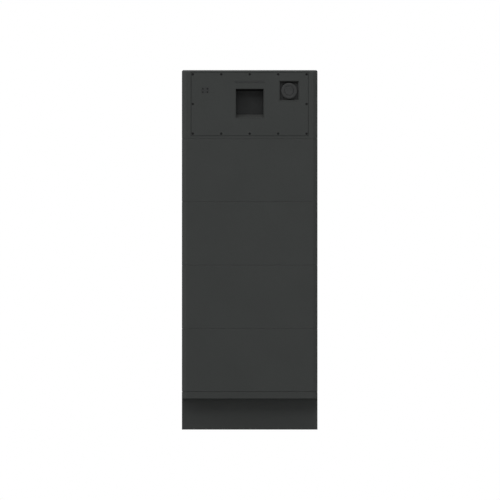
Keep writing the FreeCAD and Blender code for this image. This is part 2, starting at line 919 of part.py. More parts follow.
def make_side_grips(label):
    """Grip cups in both sides of every module, where two people lift it."""
    mouth = (grip_y, mm.grip_level, mm.grip_width, mm.grip_height)
    floor = (grip_y, mm.grip_level, mm.grip_width - mm.grip_draft * 2, mm.grip_height - mm.grip_draft)
    master = cup(
        "side_grip_master", "YZ_Plane", half_width, -1, mouth, floor,
        mm.grip_depth, mm.grip_wall, mm.case_wall,
    )
    spots = []
    for number in range(MODULES):
        base = stack_base + mm.module_pitch * number
        spots.append(Placement(Vector(0, 0, base), Rotation()))
        turned = Placement(Vector(0, grip_y * 2, base), Rotation(Vector(0, 0, 1), 180))
        spots.append(turned)
    return copies(label, master, spots)


# Stack connectors and lock plates

def unit_bases():
    """The floor level of each module and of the control box."""
    return [stack_base + mm.module_pitch * number for number in range(MODULES + 1)]


def blade_x():
    return (-mm.blade_offset, mm.blade_offset)


def make_stack_plugs(label):
    """Blind-mate plugs in the floor of each module and of the control box."""
    body = new_body("stack_plug_master")
    flange = new_sketch(body, level=mm.case_wall)
    rectangle(flange, 0, plug_y, stack_flange_width, stack_flange_depth)
    pad(body, flange, mm.flange_thickness)
    shell = new_sketch(body, level=-mm.plug_nose)
    rectangle(shell, 0, plug_y, mm.plug_width, mm.plug_depth)
    pad(body, shell, mm.plug_nose + mm.case_wall + mm.plug_body)
    slots = new_sketch(body, level=-mm.plug_nose)
    for x in blade_x():
        width, depth = mm.blade_width + mm.slip_gap * 2, mm.blade_thickness + mm.slip_gap * 2
        rectangle(slots, x, plug_y, width, depth)
    pocket(body, slots, mm.blade_height, Reversed=True)
    spots = [Placement(Vector(0, 0, base), Rotation()) for base in unit_bases()]
    return copies(label, body, spots)


def make_stack_sockets(label):
    """Sockets in the top of the deck and of each module, with two contact blades each."""
    body = new_body("stack_socket_master")
    barrel = new_sketch(body, level=-socket_height)
    rectangle(barrel, 0, plug_y, socket_width, socket_depth)
    pad(body, barrel, socket_height)
    flange = new_sketch(body)
    rectangle(flange, 0, plug_y, stack_flange_width, stack_flange_depth)
    pad(body, flange, mm.flange_thickness, Reversed=True)
    mouth = new_sketch(body)
    rectangle(mouth, 0, plug_y, plug_hole_width, plug_hole_depth)
    pocket(body, mouth, socket_cavity)
    blades = new_sketch(body, level=-socket_cavity)
    for x in blade_x():
        rectangle(blades, x, plug_y, mm.blade_width, mm.blade_thickness)
    pad(body, blades, mm.blade_height)
    spots = [Placement(Vector(0, 0, base), Rotation()) for base in unit_bases()]
    return copies(label, body, spots)


def make_lock_plates(label):
    """Plates screwed over each seam at the back, which make the stack one piece."""
    body = new_body("lock_plate_master")
    outline = new_sketch(body, "XZ_Plane", -half_depth - mm.lock_thickness)
    rectangle(outline, 0, 0, mm.lock_width, mm.lock_height)
    pad(body, outline, mm.lock_thickness)
    dress(body, "Chamfer", lambda edge: is_along(edge, Vector(0, 1, 0)), Size=mm.screw_head_radius)
    holes = new_sketch(body, "XZ_Plane", -half_depth)
    for side in (-1, 1):
        many_sided(holes, 0, lock_screw_rise * side, screw_hole, SHANK_SIDES)
    pocket(body, holes, mm.lock_thickness)
    spots = [Placement(Vector(0, 0, base), Rotation()) for base in unit_bases()]
    return copies(label, body, spots)


def make_case_screws(label):
    """The same pan-head screw at every lock plate and wall bracket."""
    lock_face = half_depth + mm.lock_thickness
    bracket_face = half_depth + mm.bracket_sheet
    spots = []
    for base in unit_bases():
        for side in (-1, 1):
            spots.append(Vector(0, lock_face, base + lock_screw_rise * side))
    for x in bracket_screws():
        spots.append(Vector(x, bracket_face, control_base + bracket_level))
    body = screw_solid(
        "case_screw_master", mm.screw_length, mm.screw_radius, mm.screw_head_radius, mm.screw_head_height
    )
    return copies(label, body, [Placement(spot, TO_BACK) for spot in spots])


def bracket_screws():
    """Give the X of each screw that holds a wall bracket."""
    return [
        bracket_across * side + mm.bracket_screw_step / 2 * step
        for side in (-1, 1) for step in (-1, 1)
    ]


# Control box

cover_width = mm.tower_width - mm.cover_side_margin * 2
cover_height = mm.control_height - mm.cover_top_margin - mm.cover_foot_margin
cover_level = mm.cover_foot_margin + cover_height / 2
cover_top = mm.control_height - mm.cover_top_margin
pocket_level = cover_top - mm.pocket_drop
bar_level = cover_top - mm.bar_drop
button_across = cover_width / 2 - mm.button_inset
button_level = cover_top - mm.button_drop
port_across = cover_width / 2 - mm.port_inset
port_level = cover_top - mm.port_drop
bay_width = mm.tower_width - mm.bay_side_margin * 2
bay_height = mm.control_height - mm.bay_top_margin - mm.bay_foot_margin
bay_level = mm.bay_foot_margin + bay_height / 2
bracket_across = half_width - mm.bracket_inset
bracket_level = mm.control_height - mm.bracket_drop
window_width = cover_width - mm.seat_width * 2
window_height = cover_height - mm.seat_width * 2
rebate_depth = mm.cover_thickness + mm.gasket_thickness
cover_screw_x = cover_width / 2 - mm.cover_screw_inset_x
cover_screw_z = cover_height / 2 - mm.cover_screw_inset_z


def cover_screw_holes(body, radius, sides, depth):
    """Drill the cover's screw holes: two rows of five, and one in the middle of each side."""
    corner = front_sketch(body)
    many_sided(corner, -cover_screw_x, cover_level - cover_screw_z, radius, sides)
    first = pocket(body, corner, depth)
    row_pattern(body, [first], ("H_Axis", cover_screw_x / 2, 5), ("V_Axis", cover_screw_z * 2, 2))
    middles = front_sketch(body)
    for side in (-1, 1):
        many_sided(middles, cover_screw_x * side, cover_level, radius, sides)
    pocket(body, middles, depth)


def cover_screw_spots():
    """Five screws along the top and the bottom and one in the middle of each side."""
    spots = []
    for rise in (-1, 1):
        for step in (-2, -1, 0, 1, 2):
            spots.append((cover_screw_x * step / 2, cover_level + cover_screw_z * rise))
    spots += [(cover_screw_x * side, cover_level) for side in (-1, 1)]
    return spots


def front_sketch(body, depth=0):
    """A sketch parallel to the front face, a little behind it."""
    return new_sketch(body, "XZ_Plane", half_depth - depth)


def make_control_case():
    """A shell with bevelled uprights, a rounded top, a screwed front window and a rear window."""
    body = new_body("control_case")
    bevelled_block(body, mm.tower_width, mm.tower_depth, mm.control_height)
    top = float(mm.control_height)
    dress(body, "Fillet", lambda edge: on_level(edge, top), Radius=mm.top_round)
    cavity = new_sketch(body, level=mm.case_wall)
    depth = mm.tower_depth - mm.front_wall - mm.case_wall
    middle = (mm.front_wall - mm.case_wall) / 2
    polygon(cavity, bevelled_points(inner_width, depth, mm.bevel_width, mm.bevel_depth, middle))
    pocket(body, cavity, mm.control_height - mm.case_wall * 2, Reversed=True)
    window = front_sketch(body)
    rectangle(window, 0, cover_level, window_width, window_height)
    pocket(body, window, mm.front_wall)
    rebate = front_sketch(body)
    reveal = mm.cover_gap * 2
    rectangle(rebate, 0, cover_level, cover_width + reveal, cover_height + reveal)
    pocket(body, rebate, rebate_depth)
    cover_screw_holes(body, mm.cover_screw_radius + mm.screw_gap, SHANK_SIDES, mm.front_wall)
    back = new_sketch(body, "XZ_Plane", -half_depth)
    rim = (mm.bay_wall + mm.fit_gap) * 2
    rectangle(back, 0, bay_level, bay_width + rim, bay_height + rim)
    pocket(body, back, mm.case_wall, Reversed=True)
    stack_openings(body, mm.case_wall)
    spots = [(0, lock_screw_rise)] + [(x, bracket_level) for x in bracket_screws()]
    rear_holes(body, spots, mm.case_wall)
    place(body, z=control_base)
    return body


pocket_mouth = (0, pocket_level, mm.pocket_width, mm.pocket_height)
pocket_floor = (0, pocket_level + mm.pocket_floor_rise, mm.pocket_floor_width, mm.pocket_floor_height)
recess_mouth = (button_across, button_level, mm.recess_width, mm.recess_height)
recess_floor = (
    button_across, button_level - mm.recess_floor_drop, mm.recess_floor_width, mm.recess_floor_height,
)


def cup_window(sketch, mouth, wall):
    """Draw the window that a cup's rim fills."""
    x, z, width, height = mouth
    rim = (wall + mm.fit_gap) * 2
    rectangle(sketch, x, z, width + rim, height + rim)


def make_front_cover():
    """The service cover, flush in its rebate, with a window for each insert."""
    body = new_body("front_cover")
    outline = front_sketch(body)
    rectangle(outline, 0, cover_level, cover_width, cover_height)
    pad(body, outline, mm.cover_thickness, Reversed=True)
    dress(body, "Fillet", lambda edge: is_along(edge, Vector(0, 1, 0)), Radius=mm.cover_corner)
    windows = front_sketch(body)
    cup_window(windows, pocket_mouth, mm.pocket_wall)
    cup_window(windows, recess_mouth, mm.pocket_wall)
    rectangle(windows, 0, bar_level, mm.bar_width + mm.fit_gap * 2, mm.bar_height + mm.fit_gap * 2)
    width, height = mm.port_width + mm.fit_gap * 2, mm.port_height + mm.fit_gap * 2
    rectangle(windows, -port_across, port_level, width, height)
    pocket(body, windows, mm.cover_thickness)
    cover_screw_holes(body, mm.cover_screw_head + mm.screw_gap, HEAD_SIDES, mm.cover_thickness)
    place(body, z=control_base)
    return body


def make_cover_gasket():
    """A flat foam frame between the cover and its rebate, inside the line of the screws."""
    body = new_body("cover_gasket")
    outline = front_sketch(body, mm.cover_thickness)
    rim = mm.gasket_width * 2
    rectangle(outline, 0, cover_level, window_width + rim, window_height + rim)
    rectangle(outline, 0, cover_level, window_width, window_height)
    pad(body, outline, mm.gasket_thickness, Reversed=True)
    place(body, z=control_base)
    return body


def make_cover_screws(label):
    """Low-head screws, sunk flush in the cover; they bear on the rebate and clamp the cover's rim."""
    body = screw_solid(
        "cover_screw_master", mm.cover_screw_length, mm.cover_screw_radius, mm.cover_screw_head,
        rebate_depth, -rebate_depth,
    )
    spots = [
        Placement(Vector(x, -half_depth, control_base + z), TO_FRONT) for x, z in cover_screw_spots()
    ]
    return copies(label, body, spots)


def make_grip_pocket():
    body = cup(
        "grip_pocket", "XZ_Plane", half_depth, -1, pocket_mouth, pocket_floor,
        mm.pocket_depth, mm.pocket_wall, mm.cover_thickness,
    )
    place(body, z=control_base)
    return body


def make_button_recess():
    """The square drafted recess, with a hole in its floor for the collar's neck."""
    body = cup(
        "button_recess", "XZ_Plane", half_depth, -1, recess_mouth, recess_floor,
        mm.recess_depth, mm.pocket_wall, mm.cover_thickness,
    )
    hole = front_sketch(body, mm.recess_depth)
    circle(hole, button_across, button_level, mm.collar_neck_radius + mm.fit_gap)
    pocket(body, hole, mm.pocket_wall)
    place(body, z=control_base)
    return body


def make_light_bar_lens():
    """A milky strip that fills its slot, with a flange behind the cover."""
    body = new_body("light_bar_lens")
    strip = front_sketch(body)
    rectangle(strip, 0, bar_level, mm.bar_width, mm.bar_height)
    pad(body, strip, mm.cover_thickness, Reversed=True)
    flange = front_sketch(body, mm.cover_thickness)
    rectangle(flange, 0, bar_level, mm.bar_width + mm.port_flange * 2, mm.bar_height + mm.port_flange * 2)
    pad(body, flange, mm.flange_thickness, Reversed=True)
    place(body, z=control_base)
    return body


def make_light_bar_board():
    """The strip of lamps behind the lens."""
    back = -half_depth + mm.cover_thickness + mm.flange_thickness
    lamp = mm.board_thickness
    front = back + lamp
    half = mm.bar_width / 2
    z = control_base + bar_level
    rise = mm.bar_board_height / 2
    plate = box("lamp_board", (-half, front, z - rise), (half, front + mm.board_thickness, z + rise))
    lamps = []
    for number in range(6):
        x = half * (number / 3 - 5 / 6)
        lamps.append(box("lamp", (x - lamp, back, z - lamp), (x + lamp, front, z + lamp)))
    return fused("light_bar_board", [plate] + lamps)


# Start button: everything is turned about the button's own axis, which runs from the front inwards

collar_length = mm.recess_depth - mm.collar_setback
neck_end = collar_length + mm.collar_neck_length
flange_start = mm.collar_lip + mm.slip_gap


def on_button_axis(body):
    """Stand a part that was turned about Z on the button's axis, its front at the cover's face."""
    body.Placement = Placement(Vector(), TO_BACK)
    place(body, button_across, -half_depth + mm.collar_setback, control_base + button_level)
    return body


def make_button_collar():
    """A fixed round collar with a neck through the recess floor and a lip that keeps the button in."""
    body = new_body("button_collar")
    profile = new_sketch(body, "XZ_Plane")
    bore = mm.button_radius + mm.slip_gap
    chamber = mm.button_flange_radius + mm.slip_gap
    polygon(profile, [
        (bore, 0),
        (mm.collar_radius - mm.collar_edge, 0),
        (mm.collar_radius, mm.collar_edge),
        (mm.collar_radius, collar_length),
        (mm.collar_neck_radius, collar_length),
        (mm.collar_neck_radius, neck_end),
        (chamber, neck_end),
        (chamber, mm.collar_lip),
        (bore, mm.collar_lip),
    ])
    revolution(body, profile)
    return on_button_axis(body)


def make_start_button():
    """A dished cap, a retaining flange and a stem that works the switch."""
    body = new_body("start_button")
    profile = new_sketch(body, "XZ_Plane")
    front = -mm.button_proud
    stem_end = neck_end - mm.button_travel - mm.slip_gap
    polygon(profile, [
        (0, front + mm.button_edge),
        (mm.button_radius - mm.button_rim, front),
        (mm.button_radius - mm.button_edge, front),
        (mm.button_radius, front + mm.button_edge),
        (mm.button_radius, flange_start),
        (mm.button_flange_radius, flange_start),
        (mm.button_flange_radius, flange_start + mm.button_flange),
        (mm.button_stem_radius, flange_start + mm.button_flange),
        (mm.button_stem_radius, stem_end),
        (0, stem_end),
    ])
    revolution(body, profile)
    return on_button_axis(body)


def make_button_spring():
    """A coil spring between the button's flange and the switch, its coil drawn in short chords."""
    start = flange_start + mm.button_flange + mm.spring_wire + mm.fit_gap / 2
    height = neck_end - mm.spring_wire - mm.fit_gap / 2 - start
    chords = int(mm.spring_turns * CHORDS_IN_TURN)
    turn = Rotation(Vector(0, 0, 1), 360 / CHORDS_IN_TURN)
    arm = Vector(mm.spring_radius, 0, 0)
    points = []
    for number in range(chords + 1):
        points.append(arm + Vector(0, 0, height * number / chords))
        arm = turn.multVec(arm)
    path = Part.makePolygon(points)
    tangent = points[1] - points[0]
    section = Part.Wire(Part.makePolygon(square_round(points[0], tangent, mm.spring_wire)))
    made = document.addObject("Part::Feature", "button_spring")
    made.Shape = Part.Wire(path).makePipeShell([section], True, False, 1)
    y = -half_depth + mm.collar_setback + start
    made.Placement = Placement(Vector(button_across, y, control_base + button_level), TO_BACK)
    return made


def square_round(centre, direction, radius):
    """Give the corners of a square section across a direction, closed."""
    along = Vector(direction).normalize()
    side = along.cross(Vector(0, 0, 1)).normalize() * float(radius)
    rise = side.cross(along)
    return [centre + side, centre + rise, centre - side, centre - rise, centre + side]


def make_button_switch():
    """The switch block on the end of the collar's neck."""
    back = -half_depth + mm.collar_setback + neck_end
    half = mm.switch_size / 2 + mm.button_stem_radius
    x, z = button_across, control_base + button_level
    block = box("switch_block", (x - half, back, z - half), (x + half, back + mm.switch_depth, z + half))
    tabs = []
    for side in (-1, 1):
        middle = x + half / 2 * side
        low = (middle - mm.bar_copper, back + mm.switch_depth, z - mm.bar_copper / 2)
        high = (middle + mm.bar_copper, low[1] + mm.bar_copper * 3, low[2] + mm.bar_copper / 2)
        tabs.append(box("switch_tab", low, high))
    return fused("button_switch", [block] + tabs)


# Service port plate

port_screw_spots = [
    (-port_across + mm.port_screw_across / 2 * a, port_level + mm.port_screw_rise / 2 * b)
    for a in (-1, 1) for b in (-1, 1)
]


def make_port_plate():
    """A small blank plate over the service port, flush with the cover, flanged behind it."""
    body = new_body("service_port_plate")
    face = front_sketch(body)
    rectangle(face, -port_across, port_level, mm.port_width, mm.port_height)
    pad(body, face, mm.cover_thickness, Reversed=True)
    flange = front_sketch(body, mm.cover_thickness)
    width, height = mm.port_width + mm.port_flange * 2, mm.port_height + mm.port_flange * 2
    rectangle(flange, -port_across, port_level, width, height)
    pad(body, flange, mm.flange_thickness, Reversed=True)
    holes = front_sketch(body)
    for x, z in port_screw_spots:
        many_sided(holes, x, z, mm.port_screw_radius + mm.screw_gap, SHANK_SIDES)
    pocket(body, holes, mm.cover_thickness + mm.flange_thickness)
    place(body, z=control_base)
    return body


def make_port_screws(label):
    """Four small black cheese-head screws on the port plate."""
    body = screw_solid(
        "port_screw_master", mm.port_screw_length, mm.port_screw_radius, mm.port_screw_head,
        mm.port_screw_head_height,
    )
    spots = [Placement(Vector(x, -half_depth, control_base + z), TO_FRONT) for x, z in port_screw_spots]
    return copies(label, body, spots)


# Rear connector bay

bay_floor_y = half_depth - mm.bay_depth
bay_back_y = bay_floor_y - mm.bay_wall
power_across = bay_width / 2 - mm.power_socket_inset
power_spots = [(mm.power_socket_step / 2 * side - power_across, bay_level) for side in (-1, 1)]
data_spots = [(mm.data_port_across + mm.data_port_step / 2 * side, bay_level) for side in (-1, 1)]
isolator_across = bay_width / 2 - mm.isolator_inset
earth_spot = (-mm.earth_across, bay_level - mm.earth_drop)


def make_connector_bay():
    """A drafted bay in the back, whose floor carries the sockets, the earth stud and the isolator."""
    mouth = (0, bay_level, bay_width, bay_height)
    floor = (0, bay_level, bay_width - mm.bay_draft * 2, bay_height - mm.bay_draft * 2)
    body = cup(
        "connector_bay", "XZ_Plane", -half_depth, 1, mouth, floor, mm.bay_depth, mm.bay_wall, mm.case_wall
    )
    holes = new_sketch(body, "XZ_Plane", -bay_floor_y)
    for x, z in power_spots:
        many_sided(holes, x, z, mm.power_socket_radius + mm.fit_gap, PAD_SIDES)
    for x, z in data_spots:
        rectangle(holes, x, z, mm.port_block_width + mm.fit_gap * 2, mm.port_block_height + mm.fit_gap * 2)
    many_sided(holes, *earth_spot, mm.earth_radius + mm.fit_gap, SHANK_SIDES)
    circle(holes, isolator_across, bay_level, mm.handle_shaft_radius + mm.slip_gap)
    pocket(body, holes, mm.bay_wall, Reversed=True)
    place(body, z=control_base)
    return body


def make_power_sockets(label):
    """Two panel sockets for the battery cables: a square flange, a barrel and a round bore."""
    body = new_body("power_socket_master")
    flange = new_sketch(body)
    rectangle(flange, 0, 0, mm.power_socket_flange, mm.power_socket_flange)
    pad(body, flange, mm.bar_copper)
    barrel = new_sketch(body, level=mm.bar_copper)
    many_sided(barrel, 0, 0, mm.power_socket_radius, PAD_SIDES)
    pad(body, barrel, mm.power_socket_length - mm.bar_copper)
    rear = new_sketch(body)
    many_sided(rear, 0, 0, mm.power_socket_radius, PAD_SIDES)
    pad(body, rear, mm.power_tail, Reversed=True)
    bore = new_sketch(body, level=mm.power_socket_length)
    circle(bore, 0, 0, mm.power_bore_radius)
    pocket(body, bore, mm.power_bore_length)
    spots = [Placement(Vector(x, bay_floor_y, control_base + z), TO_BACK) for x, z in power_spots]
    return copies(label, body, spots)


def make_data_ports(label):
    """Two data ports, each a block with an open rectangular mouth."""
    body = new_body("data_port_master")
    block = new_sketch(body, level=-mm.port_block_depth / 2)
    rectangle(block, 0, 0, mm.port_block_width, mm.port_block_height)
    pad(body, block, mm.port_block_depth)
    rim = new_sketch(body)
    width, height = mm.port_block_width + mm.bar_copper, mm.port_block_height + mm.bar_copper
    rectangle(rim, 0, 0, width, height)
    pad(body, rim, mm.board_thickness)
    mouth = new_sketch(body, level=mm.port_block_depth / 2)
    rectangle(mouth, 0, 0, mm.port_opening_width, mm.port_opening_height)
    pocket(body, mouth, mm.port_opening_depth)
    spots = [Placement(Vector(x, bay_floor_y, control_base + z), TO_BACK) for x, z in data_spots]
    return copies(label, body, spots)


def make_earth_stud():
    """A threaded stud through the bay's floor with a hexagon nut on its outside."""
    body = new_body("earth_stud")
    stud = new_sketch(body, level=-mm.earth_length / 2)
    many_sided(stud, 0, 0, mm.earth_radius, SHANK_SIDES)
    pad(body, stud, mm.earth_length)
    nut = new_sketch(body)
    many_sided(nut, 0, 0, mm.earth_nut_radius, 6)
    pad(body, nut, mm.earth_nut_height)
    body.Placement = Placement(Vector(), TO_BACK)
    place(body, earth_spot[0], bay_floor_y, control_base + earth_spot[1])
    return body


def make_isolator_body():
    """The switch block behind the bay's floor, with a bore for the handle's shaft."""
    body = new_body("isolator_body")
    block = new_sketch(body)
    rectangle(block, 0, 0, mm.isolator_body, mm.isolator_body)
    pad(body, block, mm.isolator_body_depth, Reversed=True)
    dress(body, "Chamfer", lambda edge: is_along(edge, Vector(0, 0, 1)), Size=mm.bar_copper)
    bore = new_sketch(body)
    circle(bore, 0, 0, mm.handle_shaft_radius + mm.slip_gap)
    pocket(body, bore, mm.handle_shaft_length)
    body.Placement = Placement(Vector(), TO_BACK)
    place(body, isolator_across, bay_back_y, control_base + bay_level)
    return body


def make_isolator_handle():
    """A round base with a raised grip bar across it, on a shaft through the bay's floor."""
    body = new_body("isolator_handle")
    base = new_sketch(body, level=mm.slip_gap)
    circle(base, 0, 0, mm.handle_radius)
    pad(body, base, mm.handle_base)
    rim = float(mm.slip_gap + mm.handle_base)
    dress(body, "Chamfer", lambda edge: on_level(edge, rim), Size=mm.handle_edge)
    bar = new_sketch(body, level=mm.slip_gap + mm.handle_base / 2)
    rectangle(bar, 0, 0, mm.handle_grip_width, mm.handle_grip_length)
    pad(body, bar, mm.handle_base / 2 + mm.handle_grip_height)
    top = float(mm.slip_gap + mm.handle_base + mm.handle_grip_height)
    dress(body, "Fillet", lambda edge: on_level(edge, top), Radius=mm.handle_grip_round)
    shaft = new_sketch(body, level=mm.slip_gap)
    circle(shaft, 0, 0, mm.handle_shaft_radius)
    pad(body, shaft, mm.handle_shaft_length, Reversed=True)
    body.Placement = Placement(Vector(), TO_BACK)
    place(body, isolator_across, bay_floor_y, control_base + bay_level)
    return body


# Wall brackets

def make_wall_brackets(label):
    """Folded steel brackets behind the top: one leg on the case, one slotted leg at the wall."""
    body = new_body("wall_bracket_master")
    steel = mm.bracket_sheet
    side_view = new_sketch(body, "YZ_Plane", -mm.bracket_width / 2)
    low = -mm.bracket_foot / 2
    web = mm.bracket_foot / 2
    polygon(side_view, [
        (0, low),
        (steel, low),
        (steel, web - steel),
        (mm.bracket_reach, web - steel),
        (mm.bracket_reach, web - steel - mm.bracket_rise),
        (mm.bracket_reach + steel, web - steel - mm.bracket_rise),
        (mm.bracket_reach + steel, web),
        (0, web),
    ])
    pad(body, side_view, mm.bracket_width)
    slot = new_sketch(body, "XZ_Plane", -mm.bracket_reach - steel)
    wall_slot(slot, 0, web - steel - mm.bracket_rise / 2)
    pocket(body, slot, steel, Reversed=True)
    holes = new_sketch(body, "XZ_Plane", -steel)
    for side in (-1, 1):
        many_sided(holes, mm.bracket_screw_step / 2 * side, 0, screw_hole, SHANK_SIDES)
    pocket(body, holes, steel, Reversed=True)
    level = control_base + bracket_level
    spots = [
        Placement(Vector(bracket_across * side, half_depth, level), Rotation()) for side in (-1, 1)
    ]
    return copies(label, body, spots)


def wall_slot(sketch, x, z):
    """Draw a slot along X with round ends."""
    radius = mm.slot_width / 2
    reach = mm.slot_length / 2 - radius
    left, right = Vector(x - reach, z, 0), Vector(x + reach, z, 0)
    up = Vector(0, 0, 1)
    first = sketch.GeometryCount
    quarter = 1.5707963267948966
    sketch.addGeometry(Part.ArcOfCircle(Part.Circle(left, up, float(radius)), quarter, quarter * 3))
    sketch.addGeometry(Part.ArcOfCircle(Part.Circle(right, up, float(radius)), -quarter, quarter))
    low, high = Vector(0, -radius, 0), Vector(0, radius, 0)
    sketch.addGeometry(Part.LineSegment(left + low, right + low))
    sketch.addGeometry(Part.LineSegment(right + high, left + high))
    for one, one_end, other, other_end in ((0, 2, 2, 1), (2, 2, 1, 1), (1, 2, 3, 1), (3, 2, 0, 1)):
        joint = Sketcher.Constraint("Tangent", first + one, one_end, first + other, other_end)
        sketch.addConstraint(joint)
    dimension(sketch, "Radius", (first,), radius)
    locate(sketch, first, 3, x - reach, z)
    locate(sketch, first + 1, 3, x + reach, z)


# Inside the control box

floor_z = control_base + mm.case_wall


def make_control_board():
    """The main board, on pillars on the left wall of the control box."""
    wall = -half_width + mm.case_wall
    face = wall + mm.board_standoff
    front = -mm.control_board_width / 2 - mm.rear_zone / 2
    low = control_base + mm.control_board_level
    plate = box(
        "board_plate", (face, front, low),
        (face + mm.board_thickness, front + mm.control_board_width, low + mm.control_board_height),
    )
    pieces = [plate]
    inset = mm.board_standoff
    for y in (front + inset, front + mm.control_board_width - inset):
        for z in (low + inset, low + mm.control_board_height - inset):
            half = mm.standoff_radius
            pieces.append(box("board_pillar", (wall, y - half, z - half), (face, y + half, z + half)))
    for number in range(3):
        start = front + mm.control_board_width * (number / 3 + 0.08)
        corner = (face + mm.board_thickness, start, low + mm.control_board_height * 0.3)
        block_top = low + mm.control_board_height * 0.6
        end = (corner[0] + mm.board_standoff, start + mm.board_standoff * 3, block_top)
        pieces.append(box("board_block", corner, end))
    return fused("control_board", pieces)


contactor_left = -mm.contactor_step - mm.contactor_width / 2
contactor_front = -mm.contactor_depth / 2


def make_contactors(label):
    """Two sealed contactors standing on the control box floor, with a terminal each side on top."""
    made = []
    for number in range(2):
        left = contactor_left + mm.contactor_step * number
        top = floor_z + mm.contactor_height
        far_corner = (left + mm.contactor_width, contactor_front + mm.contactor_depth, top)
        can = box("contactor_can", (left, contactor_front, floor_z), far_corner)
        middle = left + mm.contactor_width / 2
        half = mm.terminal_width / 2
        studs = [
            box(
                "contactor_pad", (middle - half, y - half, top),
                (middle + half, y + half, top + mm.terminal_height),
            )
            for y in (contactor_front + mm.contactor_depth * 0.2, contactor_front + mm.contactor_depth * 0.8)
        ]
        made.append(fused("contactor", [can] + studs))
    return group(label, made)


def make_main_fuse():
    """A round fuse with end blades, in a block on the control box floor."""
    x = contactor_left + mm.contactor_step * 2 + mm.contactor_width / 2
    middle = floor_z + mm.fuse_base_height + mm.fuse_radius
    front = -mm.fuse_length / 2
    barrel = cylinder("fuse_barrel", mm.fuse_radius, mm.fuse_length, x, front, middle, TO_BACK)
    half = mm.bar_copper_width / 2
    blade = box(
        "fuse_blades", (x - half, front - mm.fuse_blade, middle - mm.bar_copper / 2),
        (x + half, -front + mm.fuse_blade, middle + mm.bar_copper / 2),
    )
    block = box(
        "fuse_block", (x - mm.fuse_radius, front, floor_z), (x + mm.fuse_radius, -front, middle)
    )
    posts = []
    for y in (front - mm.fuse_blade, -front):
        low = (x - half, y, floor_z)
        posts.append(box("fuse_post", low, (x + half, y + mm.fuse_blade, middle)))
    return fused("main_fuse", [barrel, blade, block] + posts)


def make_power_busbars(label):
    """Copper bars from the fuse and the contactors to the sockets at the back."""
    half = mm.bar_copper_width / 2
    top = floor_z + mm.contactor_height + mm.terminal_height
    back_y = contactor_front + mm.contactor_depth * 0.8
    socket_back = bay_floor_y - mm.power_tail
    bars = []
    turns = (back_y + half, socket_back - mm.bar_copper_width)
    for number, (x, z) in enumerate(power_spots):
        middle = contactor_left + mm.contactor_step * number + mm.contactor_width / 2
        left, right = lesser(middle, x) - half, greater(middle, x) + half
        turn = turns[number]
        above = top + mm.bar_copper
        run = box("bar_run", (middle - half, back_y - half, top), (middle + half, turn, above))
        cross = box("bar_cross", (left, turn - mm.bar_copper_width, top), (right, turn, above))
        low = (x - half, turn - mm.bar_copper_width, top)
        onward = box("bar_onward", low, (x + half, socket_back, above))
        low = (x - half, socket_back - mm.bar_copper, top)
        rise = box("bar_rise", low, (x + half, socket_back, control_base + z + half))
        bars.append(fused("power_bar", [run, cross, onward, rise]))
    link_y = contactor_front + mm.contactor_depth * 0.2
    left = contactor_left + mm.contactor_step + mm.contactor_width / 2
    fuse_x = contactor_left + mm.contactor_step * 2 + mm.contactor_width / 2
    fuse_top = floor_z + mm.fuse_base_height + mm.fuse_radius + mm.bar_copper / 2
    fuse_y = -mm.fuse_length / 2 - mm.fuse_blade
    above = top + mm.bar_copper
    across = box("fuse_link", (left - half, link_y - half, top), (fuse_x + half, link_y + half, above))
    low, high = (fuse_x - half, fuse_y, top), (fuse_x + half, link_y + half, above)
    onward = box("fuse_onward", low, high)
    low, high = (fuse_x - half, fuse_y, fuse_top), (fuse_x + half, fuse_y + mm.bar_copper, above)
    down = box("fuse_drop", low, high)
    bars.append(fused("fuse_bar", [across, onward, down]))
    return group(label, bars)


def lesser(first, second):
    return first if float(first) < float(second) else second


def greater(first, second):
    return second if float(first) < float(second) else first


# The whole battery

parts = [make_plinth(), make_deck(), make_foot_housings()]
parts += [make_foot(label, x, y) for label, (x, y) in FEET.items()]
for number in range(MODULES):
    base = stack_base + mm.module_pitch * number
    module = f"module_{number + 1}"
    parts += [
        make_module_case(f"{module}_case", base),
        make_module_lid(f"{module}_lid", base),
        make_cells(f"{module}_cells", base),
        make_clamp_frame(f"{module}_clamp_frame", base),
        make_monitor_board(f"{module}_monitor_board", base),
    ]
parts += [
    make_links("cell_links"),
    make_side_grips("side_grips"),
    make_stack_plugs("stack_plugs"),
    make_stack_sockets("stack_sockets"),
    make_lock_plates("lock_plates"),
    make_case_screws("case_screws"),
    make_control_case(),
    make_front_cover(),
    make_cover_gasket(),
    make_cover_screws("cover_screws"),
    make_grip_pocket(),
    make_light_bar_lens(),
    make_light_bar_board(),
    make_button_recess(),
    make_button_collar(),
    make_start_button(),
    make_button_spring(),
    make_button_switch(),
    make_port_plate(),
    make_port_screws("service_port_screws"),
    make_connector_bay(),
    make_power_sockets("power_sockets"),
    make_data_ports("data_ports"),
    make_earth_stud(),
    make_isolator_body(),
    make_isolator_handle(),
    make_wall_brackets("wall_brackets"),
    make_control_board(),
    make_contactors("contactors"),
    make_main_fuse(),
    make_power_busbars("power_busbars"),
]

document.recompute()
for item in document.Objects:
    if "Invalid" in item.State or "Error" in item.State:
        raise RuntimeError(f"{item.Name} failed: {item.State}")
os.makedirs("parts", exist_ok=True)
for part in parts:
    if part.Shape.isNull() or not part.Shape.isValid():
        raise RuntimeError(f"{part.Label} has no valid shape")
    part.Shape.exportStep(f"parts/{part.Label}.step")
print(len(parts), "sub-parts,", sum(len(part.Shape.Solids) for part in parts), "solids")
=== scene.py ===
# %% [markdown]
# # A stacked home battery, dressed for its photograph
#
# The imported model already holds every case, plate, socket and moving part at its true size.
# This lesson loads it, softens the edges that the eye meets, models the small fasteners and
# fittings more closely, and gives every part the finish of its real material.

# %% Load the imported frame
import json
import math

